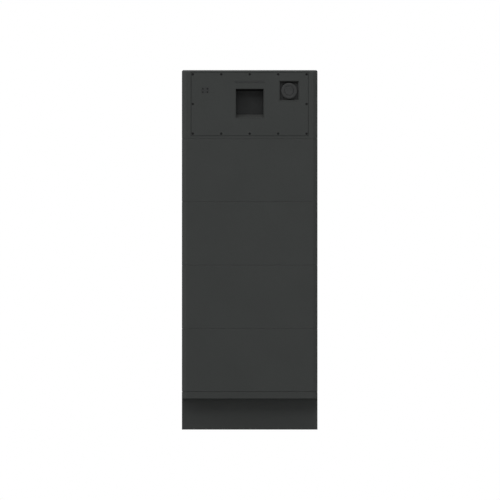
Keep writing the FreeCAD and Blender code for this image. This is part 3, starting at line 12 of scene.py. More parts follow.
import bpy
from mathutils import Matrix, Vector


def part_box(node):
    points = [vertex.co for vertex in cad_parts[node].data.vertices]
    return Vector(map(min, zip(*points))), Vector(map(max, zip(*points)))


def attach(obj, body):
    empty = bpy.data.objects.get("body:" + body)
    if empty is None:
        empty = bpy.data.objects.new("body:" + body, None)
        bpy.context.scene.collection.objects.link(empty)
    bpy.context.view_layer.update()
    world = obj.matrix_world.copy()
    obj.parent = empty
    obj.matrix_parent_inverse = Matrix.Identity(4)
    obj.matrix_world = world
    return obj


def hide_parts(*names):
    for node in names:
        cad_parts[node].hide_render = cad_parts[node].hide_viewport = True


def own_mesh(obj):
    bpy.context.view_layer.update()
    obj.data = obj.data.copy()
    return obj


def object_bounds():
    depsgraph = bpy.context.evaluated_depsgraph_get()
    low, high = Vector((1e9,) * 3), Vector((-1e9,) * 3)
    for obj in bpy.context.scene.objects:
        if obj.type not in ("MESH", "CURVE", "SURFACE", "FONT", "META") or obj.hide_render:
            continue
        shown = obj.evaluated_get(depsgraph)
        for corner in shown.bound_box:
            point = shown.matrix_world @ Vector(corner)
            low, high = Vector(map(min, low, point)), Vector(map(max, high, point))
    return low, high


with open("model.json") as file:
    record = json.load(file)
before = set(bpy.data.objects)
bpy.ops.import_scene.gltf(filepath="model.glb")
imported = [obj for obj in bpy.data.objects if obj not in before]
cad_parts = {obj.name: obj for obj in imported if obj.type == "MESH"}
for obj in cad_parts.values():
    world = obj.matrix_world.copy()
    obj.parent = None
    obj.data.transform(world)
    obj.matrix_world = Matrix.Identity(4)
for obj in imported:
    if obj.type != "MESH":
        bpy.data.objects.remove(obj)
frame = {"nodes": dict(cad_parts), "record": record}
cad_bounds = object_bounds()
low_corner, high_corner = (Vector(corner) for corner in cad_bounds)
print("size in metres:", [round(value, 4) for value in high_corner - low_corner])

# %% [markdown]
# ## Colours and nodes
#
# A paint chart gives colours as sRGB hex values, while the shader works in linear light. One
# function converts them, so every colour below can be compared with a chart or a photograph.
# A second function adds any shader node with its settings and links. A helper for each kind of
# node would save little and would hide what the material is made of.

# %% Helpers for materials
MM = 0.001


def linear(code):
    """Turn an sRGB hex colour into the linear RGBA that the shader needs."""
    channels = [int(code[at:at + 2], 16) / 255 for at in (1, 3, 5)]
    return tuple(c / 12.92 if c <= 0.04045 else ((c + 0.055) / 1.055) ** 2.4 for c in channels) + (1,)


def per_mm(size_mm):
    """Give the pattern scale at which one repeat is size_mm wide."""
    return 1 / (size_mm * MM)


def feed(tree, node, links):
    """Link sockets, or the first output of nodes, to a node's inputs, found by identifier or name."""
    for name, source in links.items():
        if not isinstance(source, bpy.types.NodeSocket):
            source = next(socket for socket in source.outputs if socket.enabled)
        target = next((socket for socket in node.inputs if socket.identifier == name), None)
        tree.links.new(source, target or node.inputs[name])


def add(tree, kind, links=None, **settings):
    """Add a shader node. Settings are its properties or inputs; links feed its inputs."""
    made = tree.nodes.new(f"ShaderNode{kind}")
    for name, value in settings.items():
        if hasattr(made, name):
            setattr(made, name, value)
        else:
            target = next((socket for socket in made.inputs if socket.identifier == name), None)
            (target or made.inputs[name.replace("_", " ")]).default_value = value
    feed(tree, made, links or {})
    return made


def start_finish(name, **settings):
    """Start a material: its tree, its shader and the object's own coordinates."""
    material = bpy.data.materials.new(name)
    material.use_nodes = True
    tree = material.node_tree
    tree.nodes.clear()
    shader = add(tree, "BsdfPrincipled", **settings)
    add(tree, "OutputMaterial", {"Surface": shader})
    place = add(tree, "TexCoord").outputs["Object"]
    return material, tree, shader, place


print("one millimetre is", MM, "metres")

# %% [markdown]
# ## Powder coat
#
# The steel cases are powder coated: dry polyester powder is sprayed on and baked, and it melts
# to an even, matte skin with a fine orange-peel texture. It could be one flat grey, but the
# real coat varies a little in thickness and gloss. Three noise patterns give that: specks a few
# millimetres wide in the colour, slow drifts in the colour and the gloss, and the peel in a bump.

# %% Powder coat
def make_powder_coat():
    """Baked polyester powder: a matte, even grey that breaks up a highlight into a soft sheen."""
    material, tree, shader, place = start_finish(
        "polyester_powder_coat", Metallic=0.0, IOR=1.5, Specular_IOR_Level=0.2,
    )
    drift = add(tree, "TexNoise", {"Vector": place}, Scale=per_mm(160), Detail=2.0, Roughness=0.5)
    speck = add(tree, "TexNoise", {"Vector": place}, Scale=per_mm(2.4), Detail=3.0, Roughness=0.6)
    # The real orange peel is about half a millimetre; it is drawn coarser so that it shows.
    skin = add(tree, "TexNoise", {"Vector": place}, Scale=per_mm(1.3), Detail=2.0, Roughness=0.5)
    both = add(
        tree, "Math", {"Value": drift, "Value_001": speck}, operation="MULTIPLY_ADD", Value_002=0.15,
    )
    colour = add(
        tree, "Mix", {"Factor_Float": both}, data_type="RGBA",
        A_Color=linear("#2B2D2C"), B_Color=linear("#383A39"),
    )
    gloss = add(
        tree, "MapRange", {"Value": drift}, From_Min=0.3, From_Max=0.7, To_Min=0.5, To_Max=0.62,
    )
    peel = add(tree, "Bump", {"Height": skin}, Distance=0.03 * MM, Strength=0.5)
    feed(tree, shader, {"Base Color": colour, "Roughness": gloss, "Normal": peel})
    return material


powder_coat = make_powder_coat()
print("made", powder_coat.name)

# %% [markdown]
# ## Textured plastic in the cups
#
# The grip pocket, the button recess, the side grips and the connector bay are moulded in ABS,
# whose mould is spark eroded so that the plastic comes out with an even, fine texture. A
# photographed texture would need an image and a map of the surface. Voronoi cells need neither
# and look the same: small pits with soft rims. The colour also follows the surface's normal:
# faces that look up are painted paler, as painted light from above, and ceilings are painted
# dark, as painted shade.

# %% Spark-textured ABS in the cups
def make_textured_abs(name, dark, light, ceiling_shade):
    """ABS from a spark-eroded mould: fine pits that kill reflections, painted light on the faces that
    look up and painted shade on the ceilings.
    """
    material, tree, shader, place = start_finish(
        name, Metallic=0.0, IOR=1.52, Specular_IOR_Level=0.08,
    )
    # Real spark pits are a few tenths of a millimetre; they are drawn coarser so that they show.
    pits = add(tree, "TexVoronoi", {"Vector": place}, Scale=per_mm(1.1), feature="F1")
    cloud = add(tree, "TexNoise", {"Vector": place}, Scale=per_mm(30), Detail=2.0)
    plain_colour = add(
        tree, "Mix", {"Factor_Float": cloud}, data_type="RGBA",
        A_Color=linear(dark), B_Color=linear(light),
    )
    facing_up = add(tree, "SeparateXYZ", {"Vector": add(tree, "NewGeometry").outputs["Normal"]})
    # Faces that look up are mixed towards a paler grey: painted light from above.
    painted_top_light = add(
        tree, "MapRange", {"Value": facing_up.outputs["Z"]}, From_Min=0.2, From_Max=0.9, To_Max=0.85,
    )
    # Faces that look down take the ceiling colour: painted shade.
    painted_ceiling_shade = add(
        tree, "MapRange", {"Value": facing_up.outputs["Z"]}, From_Min=-0.2, From_Max=-0.8, To_Max=0.85,
    )
    top_lit_colour = add(
        tree, "Mix", {"Factor_Float": painted_top_light, "A_Color": plain_colour}, data_type="RGBA",
        B_Color=linear("#363736"),
    )
    colour = add(
        tree, "Mix", {"Factor_Float": painted_ceiling_shade, "A_Color": top_lit_colour}, data_type="RGBA",
        B_Color=linear(ceiling_shade),
    )
    gloss = add(tree, "MapRange", {"Value": pits}, To_Min=0.6, To_Max=0.72)
    dents = add(tree, "Bump", {"Height": pits}, Distance=0.02 * MM, Strength=0.5)
    feed(tree, shader, {"Base Color": colour, "Roughness": gloss, "Normal": dents})
    return material


textured_abs = make_textured_abs("spark_textured_abs", "#242525", "#2C2D2D", ceiling_shade="#020202")
# The button recess gets paler colours and a paler ceiling: painted light that lifts it out of the
# collar's shade.
lightened_abs = make_textured_abs("lightened_textured_abs", "#363737", "#3E3F3F", ceiling_shade="#222222")
print("made", textured_abs.name, "and", lightened_abs.name)

# %% [markdown]
# ## Satin plastic that fingers touch
#
# The button, its collar and the service port's plate are ABS too, but from a bead-blasted
# mould, which leaves a smooth satin skin. The cups' material with a finer pattern would come
# near it. A material of its own is clearer, because its gloss is higher and it has none of the
# cups' painted light and shade.

# %% Satin ABS on the button and its collar
def make_satin_abs():
    """ABS from a bead-blasted mould: smoother than the cups, so that a fingertip slides on it."""
    material, tree, shader, place = start_finish(
        "satin_abs", Metallic=0.0, IOR=1.52, Specular_IOR_Level=0.2,
    )
    grit = add(tree, "TexNoise", {"Vector": place}, Scale=per_mm(0.7), Detail=2.0)
    cloud = add(tree, "TexNoise", {"Vector": place}, Scale=per_mm(30), Detail=2.0)
    colour = add(
        tree, "Mix", {"Factor_Float": cloud}, data_type="RGBA",
        A_Color=linear("#282929"), B_Color=linear("#313232"),
    )
    gloss = add(
        tree, "MapRange", {"Value": cloud}, From_Min=0.3, From_Max=0.7, To_Min=0.44, To_Max=0.54,
    )
    blast = add(tree, "Bump", {"Height": grit}, Distance=0.01 * MM, Strength=0.4)
    feed(tree, shader, {"Base Color": colour, "Roughness": gloss, "Normal": blast})
    return material


satin_abs = make_satin_abs()
print("made", satin_abs.name)

# %% [markdown]
# ## Nylon and the smoked lens
#
# The connectors are glass-filled nylon, nearly black and a little streaky where the glass fibres
# flowed. The isolator's handle is red nylon, and the lens of the light bar is smoked
# polycarbonate. Streaks could be painted by hand on each piece. A Mapping node that stretches a
# noise along one axis draws them on every piece at once.

# %% Filled nylon
def make_filled_nylon():
    """Glass-filled nylon: nearly black and dull, with faint streaks where the fibres flowed."""
    material, tree, shader, place = start_finish("glass_filled_nylon", Metallic=0.0, IOR=1.53)
    flow = add(tree, "Mapping", {"Vector": place}, Scale=(1.0, 1.0, 0.15))
    streaks = add(tree, "TexNoise", {"Vector": flow}, Scale=per_mm(1.6), Detail=4.0, Distortion=0.4)
    colour = add(
        tree, "Mix", {"Factor_Float": streaks}, data_type="RGBA",
        A_Color=linear("#161717"), B_Color=linear("#242626"),
    )
    gloss = add(
        tree, "MapRange", {"Value": streaks}, From_Min=0.3, From_Max=0.7, To_Min=0.42, To_Max=0.6,
    )
    fibres = add(tree, "Bump", {"Height": streaks}, Distance=0.015 * MM, Strength=0.4)
    feed(tree, shader, {"Base Color": colour, "Roughness": gloss, "Normal": fibres})
    return material


filled_nylon = make_filled_nylon()
print("made", filled_nylon.name)


# %% Red nylon
def make_red_nylon():
    """The handle's moulded nylon: a deep red that hands have polished in patches."""
    material, tree, shader, place = start_finish("red_nylon", Metallic=0.0, IOR=1.53)
    rub = add(tree, "TexNoise", {"Vector": place}, Scale=per_mm(9), Detail=3.0)
    fine = add(tree, "TexNoise", {"Vector": place}, Scale=per_mm(0.8))
    colour = add(
        tree, "Mix", {"Factor_Float": rub}, data_type="RGBA",
        A_Color=linear("#7E120E"), B_Color=linear("#9C1A14"),
    )
    gloss = add(
        tree, "MapRange", {"Value": rub}, From_Min=0.3, From_Max=0.7, To_Min=0.26, To_Max=0.42,
    )
    skin = add(tree, "Bump", {"Height": fine}, Distance=0.01 * MM, Strength=0.3)
    feed(tree, shader, {"Base Color": colour, "Roughness": gloss, "Normal": skin})
    return material


red_nylon = make_red_nylon()
print("made", red_nylon.name)


# %% Smoked lens
def make_smoked_lens():
    """Smoked polycarbonate: dark while the lamps behind it are off, with a slightly milky depth."""
    material, tree, shader, place = start_finish(
        "smoked_polycarbonate", Metallic=0.0, IOR=1.58, Specular_IOR_Level=0.2,
        Transmission_Weight=0.12, Subsurface_Weight=0.1, Subsurface_Scale=2 * MM,
    )
    haze = add(tree, "TexNoise", {"Vector": place}, Scale=per_mm(5), Detail=1.0)
    colour = add(
        tree, "Mix", {"Factor_Float": haze}, data_type="RGBA",
        A_Color=linear("#242525"), B_Color=linear("#2B2C2C"),
    )
    gloss = add(
        tree, "MapRange", {"Value": haze}, From_Min=0.3, From_Max=0.7, To_Min=0.3, To_Max=0.4,
    )
    feed(tree, shader, {"Base Color": colour, "Roughness": gloss})
    return material


smoked_lens = make_smoked_lens()
print("made", smoked_lens.name)

# %% [markdown]
# ## Metals
#
# A metal's colour is all in its reflection, so each one is fully metallic and differs in tint
# and roughness. Zinc plate has a fine spangle, black oxide is a dark, oily bloom on steel,
# copper bars are rolled and show faint lines along their length, and the cells' cans are drawn
# aluminium under a thin blue film. One function makes them all, because only the tints, the
# gloss and the way that the pattern is stretched differ.

# %% One function for the metals
def make_metal(name, dark, light, rough, size_mm, stretch=(1.0, 1.0, 1.0)):
    """A metal whose tint and gloss vary in lumps, or in lines where the pattern is stretched."""
    material, tree, shader, place = start_finish(name, Metallic=1.0)
    lines = add(tree, "Mapping", {"Vector": place}, Scale=stretch)
    pattern = add(tree, "TexNoise", {"Vector": lines}, Scale=per_mm(size_mm), Detail=3.0, Roughness=0.6)
    colour = add(
        tree, "Mix", {"Factor_Float": pattern}, data_type="RGBA",
        A_Color=linear(dark), B_Color=linear(light),
    )
    gloss = add(
        tree, "MapRange", {"Value": pattern}, From_Min=0.3, From_Max=0.7,
        To_Min=rough - 0.06, To_Max=rough + 0.08,
    )
    marks = add(tree, "Bump", {"Height": pattern}, Distance=0.01 * MM, Strength=0.4)
    feed(tree, shader, {"Base Color": colour, "Roughness": gloss, "Normal": marks})
    return material


# %% The metals by name
# Electroplated zinc: a cool, pale grey with a faint spangle.
zinc_plate = make_metal("zinc_plated_steel", "#9A9EA0", "#B9BDC0", rough=0.34, size_mm=4)
# Drawn wire: bright lines along the wire.
spring_wire = make_metal(
    "drawn_spring_steel", "#8E9092", "#A9ABAD", rough=0.28, size_mm=1.2, stretch=(1.0, 1.0, 0.2),
)
# Black oxide: dark and oily, with a soft glint on the rims.
black_oxide = make_metal("black_oxide_steel", "#171717", "#2A2A2B", rough=0.42, size_mm=2.5)
# Rolled copper: warm, with rolling lines.
bare_copper = make_metal(
    "rolled_copper", "#A9663F", "#C98A5E", rough=0.3, size_mm=1.5, stretch=(0.1, 1.0, 1.0),
)
# Turned brass: yellow, with fine tool marks.
turned_brass = make_metal(
    "turned_brass", "#A98A4A", "#C7A868", rough=0.26, size_mm=0.9, stretch=(1.0, 0.1, 1.0),
)
# Drawn aluminium under a blue film: cool and a little milky.
cell_can = make_metal(
    "drawn_aluminium_can", "#3E5266", "#506A83", rough=0.36, size_mm=12, stretch=(1.0, 1.0, 0.1),
)
metals = (zinc_plate, spring_wire, black_oxide, bare_copper, turned_brass, cell_can)
print("made", ", ".join(made.name for made in metals))

# %% [markdown]
# ## Boards, foam and moulded blocks
#
# The inside is closed, yet every part in it still gets its own finish, because the model can be
# opened. A circuit board is glass fibre under green solder mask. Its tracks could be modelled
# one by one, but a Brick texture draws them as a faint grid, which is all that the eye takes in
# at this size. The gasket is foam rubber with fine pores, and the switch, the contactors and
# the fuse are glossy moulded PBT.

# %% Solder mask
def make_solder_mask():
    """Green solder mask: a glassy coat, with the tracks as a paler grid just under it."""
    material, tree, shader, place = start_finish("solder_mask", Metallic=0.0, IOR=1.5, Coat_Weight=0.3)
    tracks = add(
        tree, "TexBrick", {"Vector": place}, Scale=per_mm(12), Mortar_Size=0.04, Mortar_Smooth=0.2,
        Color1=linear("#1D5A37"), Color2=linear("#1A5232"), Mortar=linear("#2C7A4C"),
    )
    raised = tracks.outputs["Fac"]
    gloss = add(tree, "MapRange", {"Value": raised}, To_Min=0.32, To_Max=0.45)
    ridges = add(tree, "Bump", {"Height": raised}, Distance=0.03 * MM, Strength=0.5)
    feed(tree, shader, {"Base Color": tracks, "Roughness": gloss, "Normal": ridges})
    return material


solder_mask = make_solder_mask()
print("made", solder_mask.name)


# %% Foam
def make_foam():
    """Closed-cell EPDM foam: dull black, with fine pores that catch no light."""
    material, tree, shader, place = start_finish(
        "epdm_foam", Metallic=0.0, IOR=1.45, Sheen_Weight=0.15,
    )
    pores = add(tree, "TexVoronoi", {"Vector": place}, Scale=per_mm(0.8), feature="F1")
    colour = add(
        tree, "Mix", {"Factor_Float": pores}, data_type="RGBA",
        A_Color=linear("#0E0E0E"), B_Color=linear("#232323"),
    )
    gloss = add(tree, "MapRange", {"Value": pores}, To_Min=0.8, To_Max=0.95)
    dents = add(tree, "Bump", {"Height": pores}, Distance=0.1 * MM, Strength=0.6)
    feed(tree, shader, {"Base Color": colour, "Roughness": gloss, "Normal": dents})
    return material


foam = make_foam()
print("made", foam.name)


# %% Moulded PBT
def make_pbt():
    """Moulded PBT: dark and glossy, with a slight flow over wide faces."""
    material, tree, shader, place = start_finish("moulded_pbt", Metallic=0.0, IOR=1.55)
    flow = add(tree, "TexNoise", {"Vector": place}, Scale=per_mm(14), Detail=2.0)
    colour = add(
        tree, "Mix", {"Factor_Float": flow}, data_type="RGBA",
        A_Color=linear("#1C1D20"), B_Color=linear("#292A2E"),
    )
    gloss = add(
        tree, "MapRange", {"Value": flow}, From_Min=0.3, From_Max=0.7, To_Min=0.22, To_Max=0.32,
    )
    sink = add(tree, "Bump", {"Height": flow}, Distance=0.05 * MM, Strength=0.3)
    feed(tree, shader, {"Base Color": colour, "Roughness": gloss, "Normal": sink})
    return material


pbt = make_pbt()
print("made", pbt.name)

# %% [markdown]
# ## Soft edges
#
# No real edge is perfectly sharp: folded sheet has a bend, paint builds up on a rim, and a mould
# has a radius. That rim catches a thin line of light, which the eye takes for quality. The
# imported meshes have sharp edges, and they must stay as they are, so each visible case is copied.
# The copy's loose triangles are merged into whole faces, and a Bevel modifier rounds the rims.

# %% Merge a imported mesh
LOOSE_GAP = 0.01 * MM  # corners that lie closer than this are one corner
FLAT_ANGLE = math.radians(1)  # faces that meet at less than this are one face


def pick(piece):
    """Make a piece the only selected one."""
    if bpy.context.object and bpy.context.object.mode != "OBJECT":
        bpy.ops.object.mode_set(mode="OBJECT")
    bpy.ops.object.select_all(action="DESELECT")
    piece.select_set(True)
    bpy.context.view_layer.objects.active = piece
    return piece


def merged_copy(node, name):
    """Copy a node's mesh and merge its loose triangles into whole faces."""
    piece = bpy.data.objects.new(name, frame["nodes"][node].data.copy())
    bpy.context.scene.collection.objects.link(piece)
    pick(piece)
    bpy.ops.object.mode_set(mode="EDIT")
    bpy.ops.mesh.select_all(action="SELECT")
    bpy.ops.mesh.remove_doubles(threshold=LOOSE_GAP)
    bpy.ops.mesh.dissolve_limited(angle_limit=FLAT_ANGLE)
    bpy.ops.mesh.customdata_custom_splitnormals_clear()
    bpy.ops.object.mode_set(mode="OBJECT")
    return piece


# %% Round the rims
RIM_ANGLE = math.radians(28)  # faces that meet at more than this have a rim to round


def soften(piece, width_mm, segments=2):
    """Round a piece's rims with an applied Bevel modifier and shade it smooth across them."""
    pick(piece)
    bpy.ops.object.shade_smooth()
    rims = piece.modifiers.new("rims", "BEVEL")
    rims.width = width_mm * MM
    rims.segments = segments
    rims.limit_method = "ANGLE"
    rims.angle_limit = RIM_ANGLE
    rims.harden_normals = True
    bpy.ops.object.modifier_apply(modifier=rims.name)
    flats = piece.modifiers.new("flats", "WEIGHTED_NORMAL")
    flats.weight = 100
    bpy.ops.object.modifier_apply(modifier=flats.name)
    return piece


# %% Dress a piece
body_of = {}
for body, nodes in frame["record"]["behaviour"]["bodies"].items():
    for node in nodes:
        body_of[node] = body


def dress(piece, material, body, *nodes):
    """Give a piece its finish and its body, and let it stand for the nodes that are named."""
    piece.data.materials.clear()
    piece.data.materials.append(material)
    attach(piece, body)
    if nodes:
        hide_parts(*nodes)
    return piece


# %% Softened cases, plates and cups
# Each row has the node, its finish and the width of its softened rims in millimetres.
SOFTENED = [
    ("plinth", powder_coat, 0.6),
    ("base_deck", powder_coat, 0.8),
    ("control_case", powder_coat, 0.8),
    ("front_cover", powder_coat, 0.4),
    ("lock_plates", powder_coat, 0.3),
    ("wall_brackets", black_oxide, 0.5),
    ("side_grips", textured_abs, 0.6),
    ("grip_pocket", textured_abs, 0.15),
    ("button_recess", lightened_abs, 0.15),
    ("light_bar_lens", smoked_lens, 0.3),
    ("service_port_plate", satin_abs, 0.3),
    ("connector_bay", textured_abs, 0.6),
    ("isolator_handle", red_nylon, 0.4),
]
SOFTENED += [(f"module_{number}_case", powder_coat, 0.8) for number in range(1, 5)]

for node, material, width in SOFTENED:
    piece = soften(merged_copy(node, f"{node}_softened"), width)
    dress(piece, material, body_of[node], node)
    print(node, len(piece.data.polygons), "faces")

# %% [markdown]
# ## Painted rims
#
# The pocket and the recess are cups that sit flush in the cover, and their rims are painted with
# it, so the eye sees only the mouths. A second piece for each rim would leave a seam. The rim's
# faces get the cover's finish in a second material slot instead, found by how near they lie to
# the cup's front.

# %% Painted rims
RIM_DEPTH = 0.17  # millimetres behind the cup's front

for node in ("grip_pocket", "button_recess"):
    cup = bpy.data.objects[f"{node}_softened"]
    cup.data.materials.append(powder_coat)
    cup_front = min(vertex.co.y for vertex in cup.data.vertices)
    rim = [face for face in cup.data.polygons if face.center.y < cup_front + RIM_DEPTH * MM]
    for face in rim:
        face.material_index = 1
    print(node, "rim faces:", len(rim))

# %% [markdown]
# ## Fasteners
#
# The screws are small, yet they are what makes a sheet-metal case look real. Each has a low
# round head with a rounded rim and a hexagon socket. One way is to spin a profile round an
# axis. Here a filled circle is extruded and resized step by step instead, as a turner would cut
# the steps, because the hexagon socket is then a boolean cut in its flat top. Each kind of
# screw is modelled once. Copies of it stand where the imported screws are, which is read from the
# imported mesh, so none can drift from its hole.

# %% Turn a round piece
SAME_STEP = 0.002 * MM  # steps of an outline that lie closer than this are one step


def turned(name, outline_mm, sides=40, tube=False):
    """Build a round piece along Z from (radius, height) steps; a tube's outline closes on itself."""
    radius, height = outline_mm[0]
    bpy.ops.object.select_all(action="DESELECT")
    bpy.ops.mesh.primitive_circle_add(
        vertices=sides, radius=radius * MM, location=(0, 0, height * MM),
        fill_type="NOTHING" if tube else "NGON",
    )
    piece = bpy.context.object
    piece.name = name
    bpy.ops.object.transform_apply()
    bpy.ops.object.mode_set(mode="EDIT")
    bpy.ops.mesh.select_all(action="SELECT")
    steps = outline_mm[1:] + outline_mm[:1] if tube else outline_mm[1:]
    for next_radius, next_height in steps:
        rise = (0, 0, (next_height - height) * MM)
        if tube:
            bpy.ops.mesh.extrude_edges_move(TRANSFORM_OT_translate={"value": rise})
        else:
            bpy.ops.mesh.extrude_region_move(TRANSFORM_OT_translate={"value": rise})
        ratio = next_radius / radius
        bpy.ops.transform.resize(value=(ratio, ratio, 1), center_override=(0, 0, next_height * MM))
        radius, height = next_radius, next_height
    bpy.ops.mesh.select_all(action="SELECT")
    bpy.ops.mesh.remove_doubles(threshold=SAME_STEP)
    bpy.ops.mesh.normals_make_consistent(inside=False)
    bpy.ops.object.mode_set(mode="OBJECT")
    return piece


# %% Cut a socket or a hole
def cut(piece, cutter):
    """Take a cutter's shape out of a piece and delete the cutter."""
    pick(piece)
    change = piece.modifiers.new("cut", "BOOLEAN")
    change.object = cutter
    change.solver = "EXACT"
    bpy.ops.object.modifier_apply(modifier=change.name)
    bpy.data.objects.remove(cutter)
    return piece


def hexagon(across_mm, low_mm, high_mm):
    """A six-sided cutter along Z, for sockets."""
    bpy.ops.object.select_all(action="DESELECT")
    bpy.ops.mesh.primitive_cylinder_add(
        vertices=6, radius=across_mm / math.sqrt(3) * MM, depth=(high_mm - low_mm) * MM,
        location=(0, 0, (high_mm + low_mm) / 2 * MM),
    )
    bpy.ops.object.transform_apply()
    return bpy.context.object


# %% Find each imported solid
def solids_of(node):
    """List the lowest and highest corner of each separate solid of a node."""
    whole = merged_copy(node, "measured")
    bpy.ops.object.mode_set(mode="EDIT")
    bpy.ops.mesh.select_all(action="SELECT")
    bpy.ops.mesh.separate(type="LOOSE")
    bpy.ops.object.mode_set(mode="OBJECT")
    boxes = []
    for part in list(bpy.context.selected_objects):
        points = [vertex.co for vertex in part.data.vertices]
        low = Vector([min(point[axis] for point in points) for axis in range(3)])
        high = Vector([max(point[axis] for point in points) for axis in range(3)])
        boxes.append((low, high))
        bpy.data.objects.remove(part)
    return sorted(boxes, key=lambda box: tuple(round(value, 4) for value in box[0]))


def middle_of(box):
    """Find the middle between a box's lowest and highest corners."""
    return (box[0] + box[1]) / 2


# %% Stand copies at their spots
# These turns lay a piece's Z axis towards the front or towards the back.
TO_FRONT = (math.radians(90), 0, 0)
TO_BACK = (math.radians(-90), 0, 0)


def set_copies(master, name, spots, turn):
    """Stand a copy of the master, each with its own mesh, at every spot, and join them."""
    made = []
    for spot in spots:
        twin = master.copy()
        twin.data = master.data.copy()
        bpy.context.scene.collection.objects.link(twin)
        twin.location = spot
        twin.rotation_euler = turn
        made.append(twin)
    bpy.data.objects.remove(master)
    pick(made[0])
    for twin in made:
        twin.select_set(True)
    bpy.ops.object.join()
    bpy.ops.object.transform_apply()
    made[0].name = name
    return made[0]


# %% Model a socket screw
def socket_screw(name, head_mm, rise_mm, crown_mm, socket_mm, shank_mm, length_mm):
    """A crowned screw with a hexagon socket, its seat at Z 0; head and shank are given as radii."""
    rim = rise_mm - crown_mm
    screw = turned(name, [
        (shank_mm * 0.8, -length_mm), (shank_mm, -length_mm + shank_mm * 0.4), (shank_mm, 0),
        (head_mm - 0.15, 0), (head_mm, 0.15), (head_mm, rim),
        (head_mm * 0.93, rim + crown_mm * 0.55), (head_mm * 0.8, rim + crown_mm * 0.9),
        (head_mm * 0.66, rise_mm),
    ])
    cut(screw, hexagon(socket_mm, rise_mm * 0.4, rise_mm + 1))
    pick(screw)
    bpy.ops.object.shade_smooth_by_angle(angle=math.radians(30))
    return screw


def set_screws(screw, name, node, seat_of, turn):
    """Stand a screw at each packed one of a node; seat_of finds the seat's Y from its box."""
    seats = []
    for box in solids_of(node):
        centre = middle_of(box)
        seats.append((centre.x, seat_of(box), centre.z))
    screws = set_copies(screw, name, seats, turn)
    dress(screws, black_oxide, "tower", node)
    print(name, len(seats))


# %% Cover screws
# The heads bear on the case, a gasket's thickness behind the cover's back.
GASKET = 0.8
COVER_HEAD = 3.3  # millimetres from the head's seat to its top

cover_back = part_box("front_cover")[1][1]
cover_screw = socket_screw(
    "cover_screw", head_mm=4.0, rise_mm=COVER_HEAD, crown_mm=0.5, socket_mm=3.0, shank_mm=2.0,
    length_mm=3.7,
)
set_screws(
    cover_screw, "cover_screw_set", "cover_screws", lambda box: cover_back + GASKET * MM, TO_FRONT,
)

# %% Case screws at the back
CASE_HEAD = 3.0  # millimetres from the head's seat to its top

case_screw = socket_screw(
    "case_screw", head_mm=4.75, rise_mm=CASE_HEAD, crown_mm=1.4, socket_mm=3.0, shank_mm=2.5,
    length_mm=7.0,
)
set_screws(
    case_screw, "case_screw_set", "case_screws", lambda box: box[1].y - CASE_HEAD * MM, TO_BACK,
)

# %% Screws on the service port's plate
PORT_HEAD = 0.8  # millimetres from the head's seat to its top

port_screw = socket_screw(
    "port_screw", head_mm=2.3, rise_mm=PORT_HEAD, crown_mm=0.3, socket_mm=1.5, shank_mm=1.25,
    length_mm=5.0,
)
set_screws(
    port_screw, "port_screw_set", "service_port_screws",
    lambda box: box[0].y + PORT_HEAD * MM, TO_FRONT,
)

# %% [markdown]
# ## The start button and its collar
#
# The button is a 30 mm push-button in a fixed collar that sits in the square recess. Both are
# turned shapes, so they are built up in rings: the collar is a tube whose outline closes on
# itself, and the button is a solid with a dished face, which a fingertip finds in the dark.
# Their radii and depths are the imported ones, and only the rims are softer and rounder.

# %% Put a finished piece in its place
def facing(piece, name, place, turn):
    """Turn a finished piece from Z, move it to its place and leave its origin at the world's."""
    pick(piece)
    piece.name = name
    piece.rotation_euler = turn
    piece.location = place
    bpy.ops.object.transform_apply()
    bpy.ops.object.shade_smooth_by_angle(angle=math.radians(40))
    return piece


# %% Collar and button
collar_low, collar_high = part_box("button_collar")
button_axis = (
    (collar_low[0] + collar_high[0]) / 2, collar_low[1], (collar_low[2] + collar_high[2]) / 2,
)

collar = turned("collar", [
    (15.3, -6), (15.3, -1.0), (15.6, -0.3), (16.3, 0), (24.4, 0), (25.4, -0.25), (26.0, -0.8),
    (26.2, -1.5), (26.2, -11), (20, -11), (20, -25), (17.3, -25), (17.3, -6),
], sides=96, tube=True)
collar = facing(collar, "collar_turned", button_axis, TO_FRONT)
dress(collar, satin_abs, "tower", "button_collar")

button = turned("button", [
    (4, -21.7), (4, -8.3), (17, -8.3), (17, -6.3), (15, -6.3), (15, -0.3), (14.85, 0.25),
    (14.4, 0.65), (13.6, 0.8), (12.4, 0.75), (9.5, 0.45), (5.5, 0.25), (0.6, 0.2),
], sides=72)
button = facing(button, "start_button_turned", button_axis, TO_FRONT)
dress(button, satin_abs, "start_button", "start_button")
print("button axis in metres:", [round(value, 4) for value in button_axis])

# %% [markdown]
# ## The button's return spring
#
# Behind the button's flange sits a compression spring of drawn wire, four turns on an 8 mm
# radius. A helix could be a curve with a round bevel. A Screw modifier is shorter: it carries a
# small circle round an axis and along it at once, and the two open ends are then filled. When
# the button goes in by its 3 mm of travel, a real spring closes up against the switch.

# %% Spring
SPRING_FRONT, SPRING_BACK = 8.4, 24.9  # millimetres behind the collar's front
SPRING_RADIUS, WIRE_RADIUS = 8.0, 0.8
SPRING_TURNS = 4
STEPS_A_TURN = 24

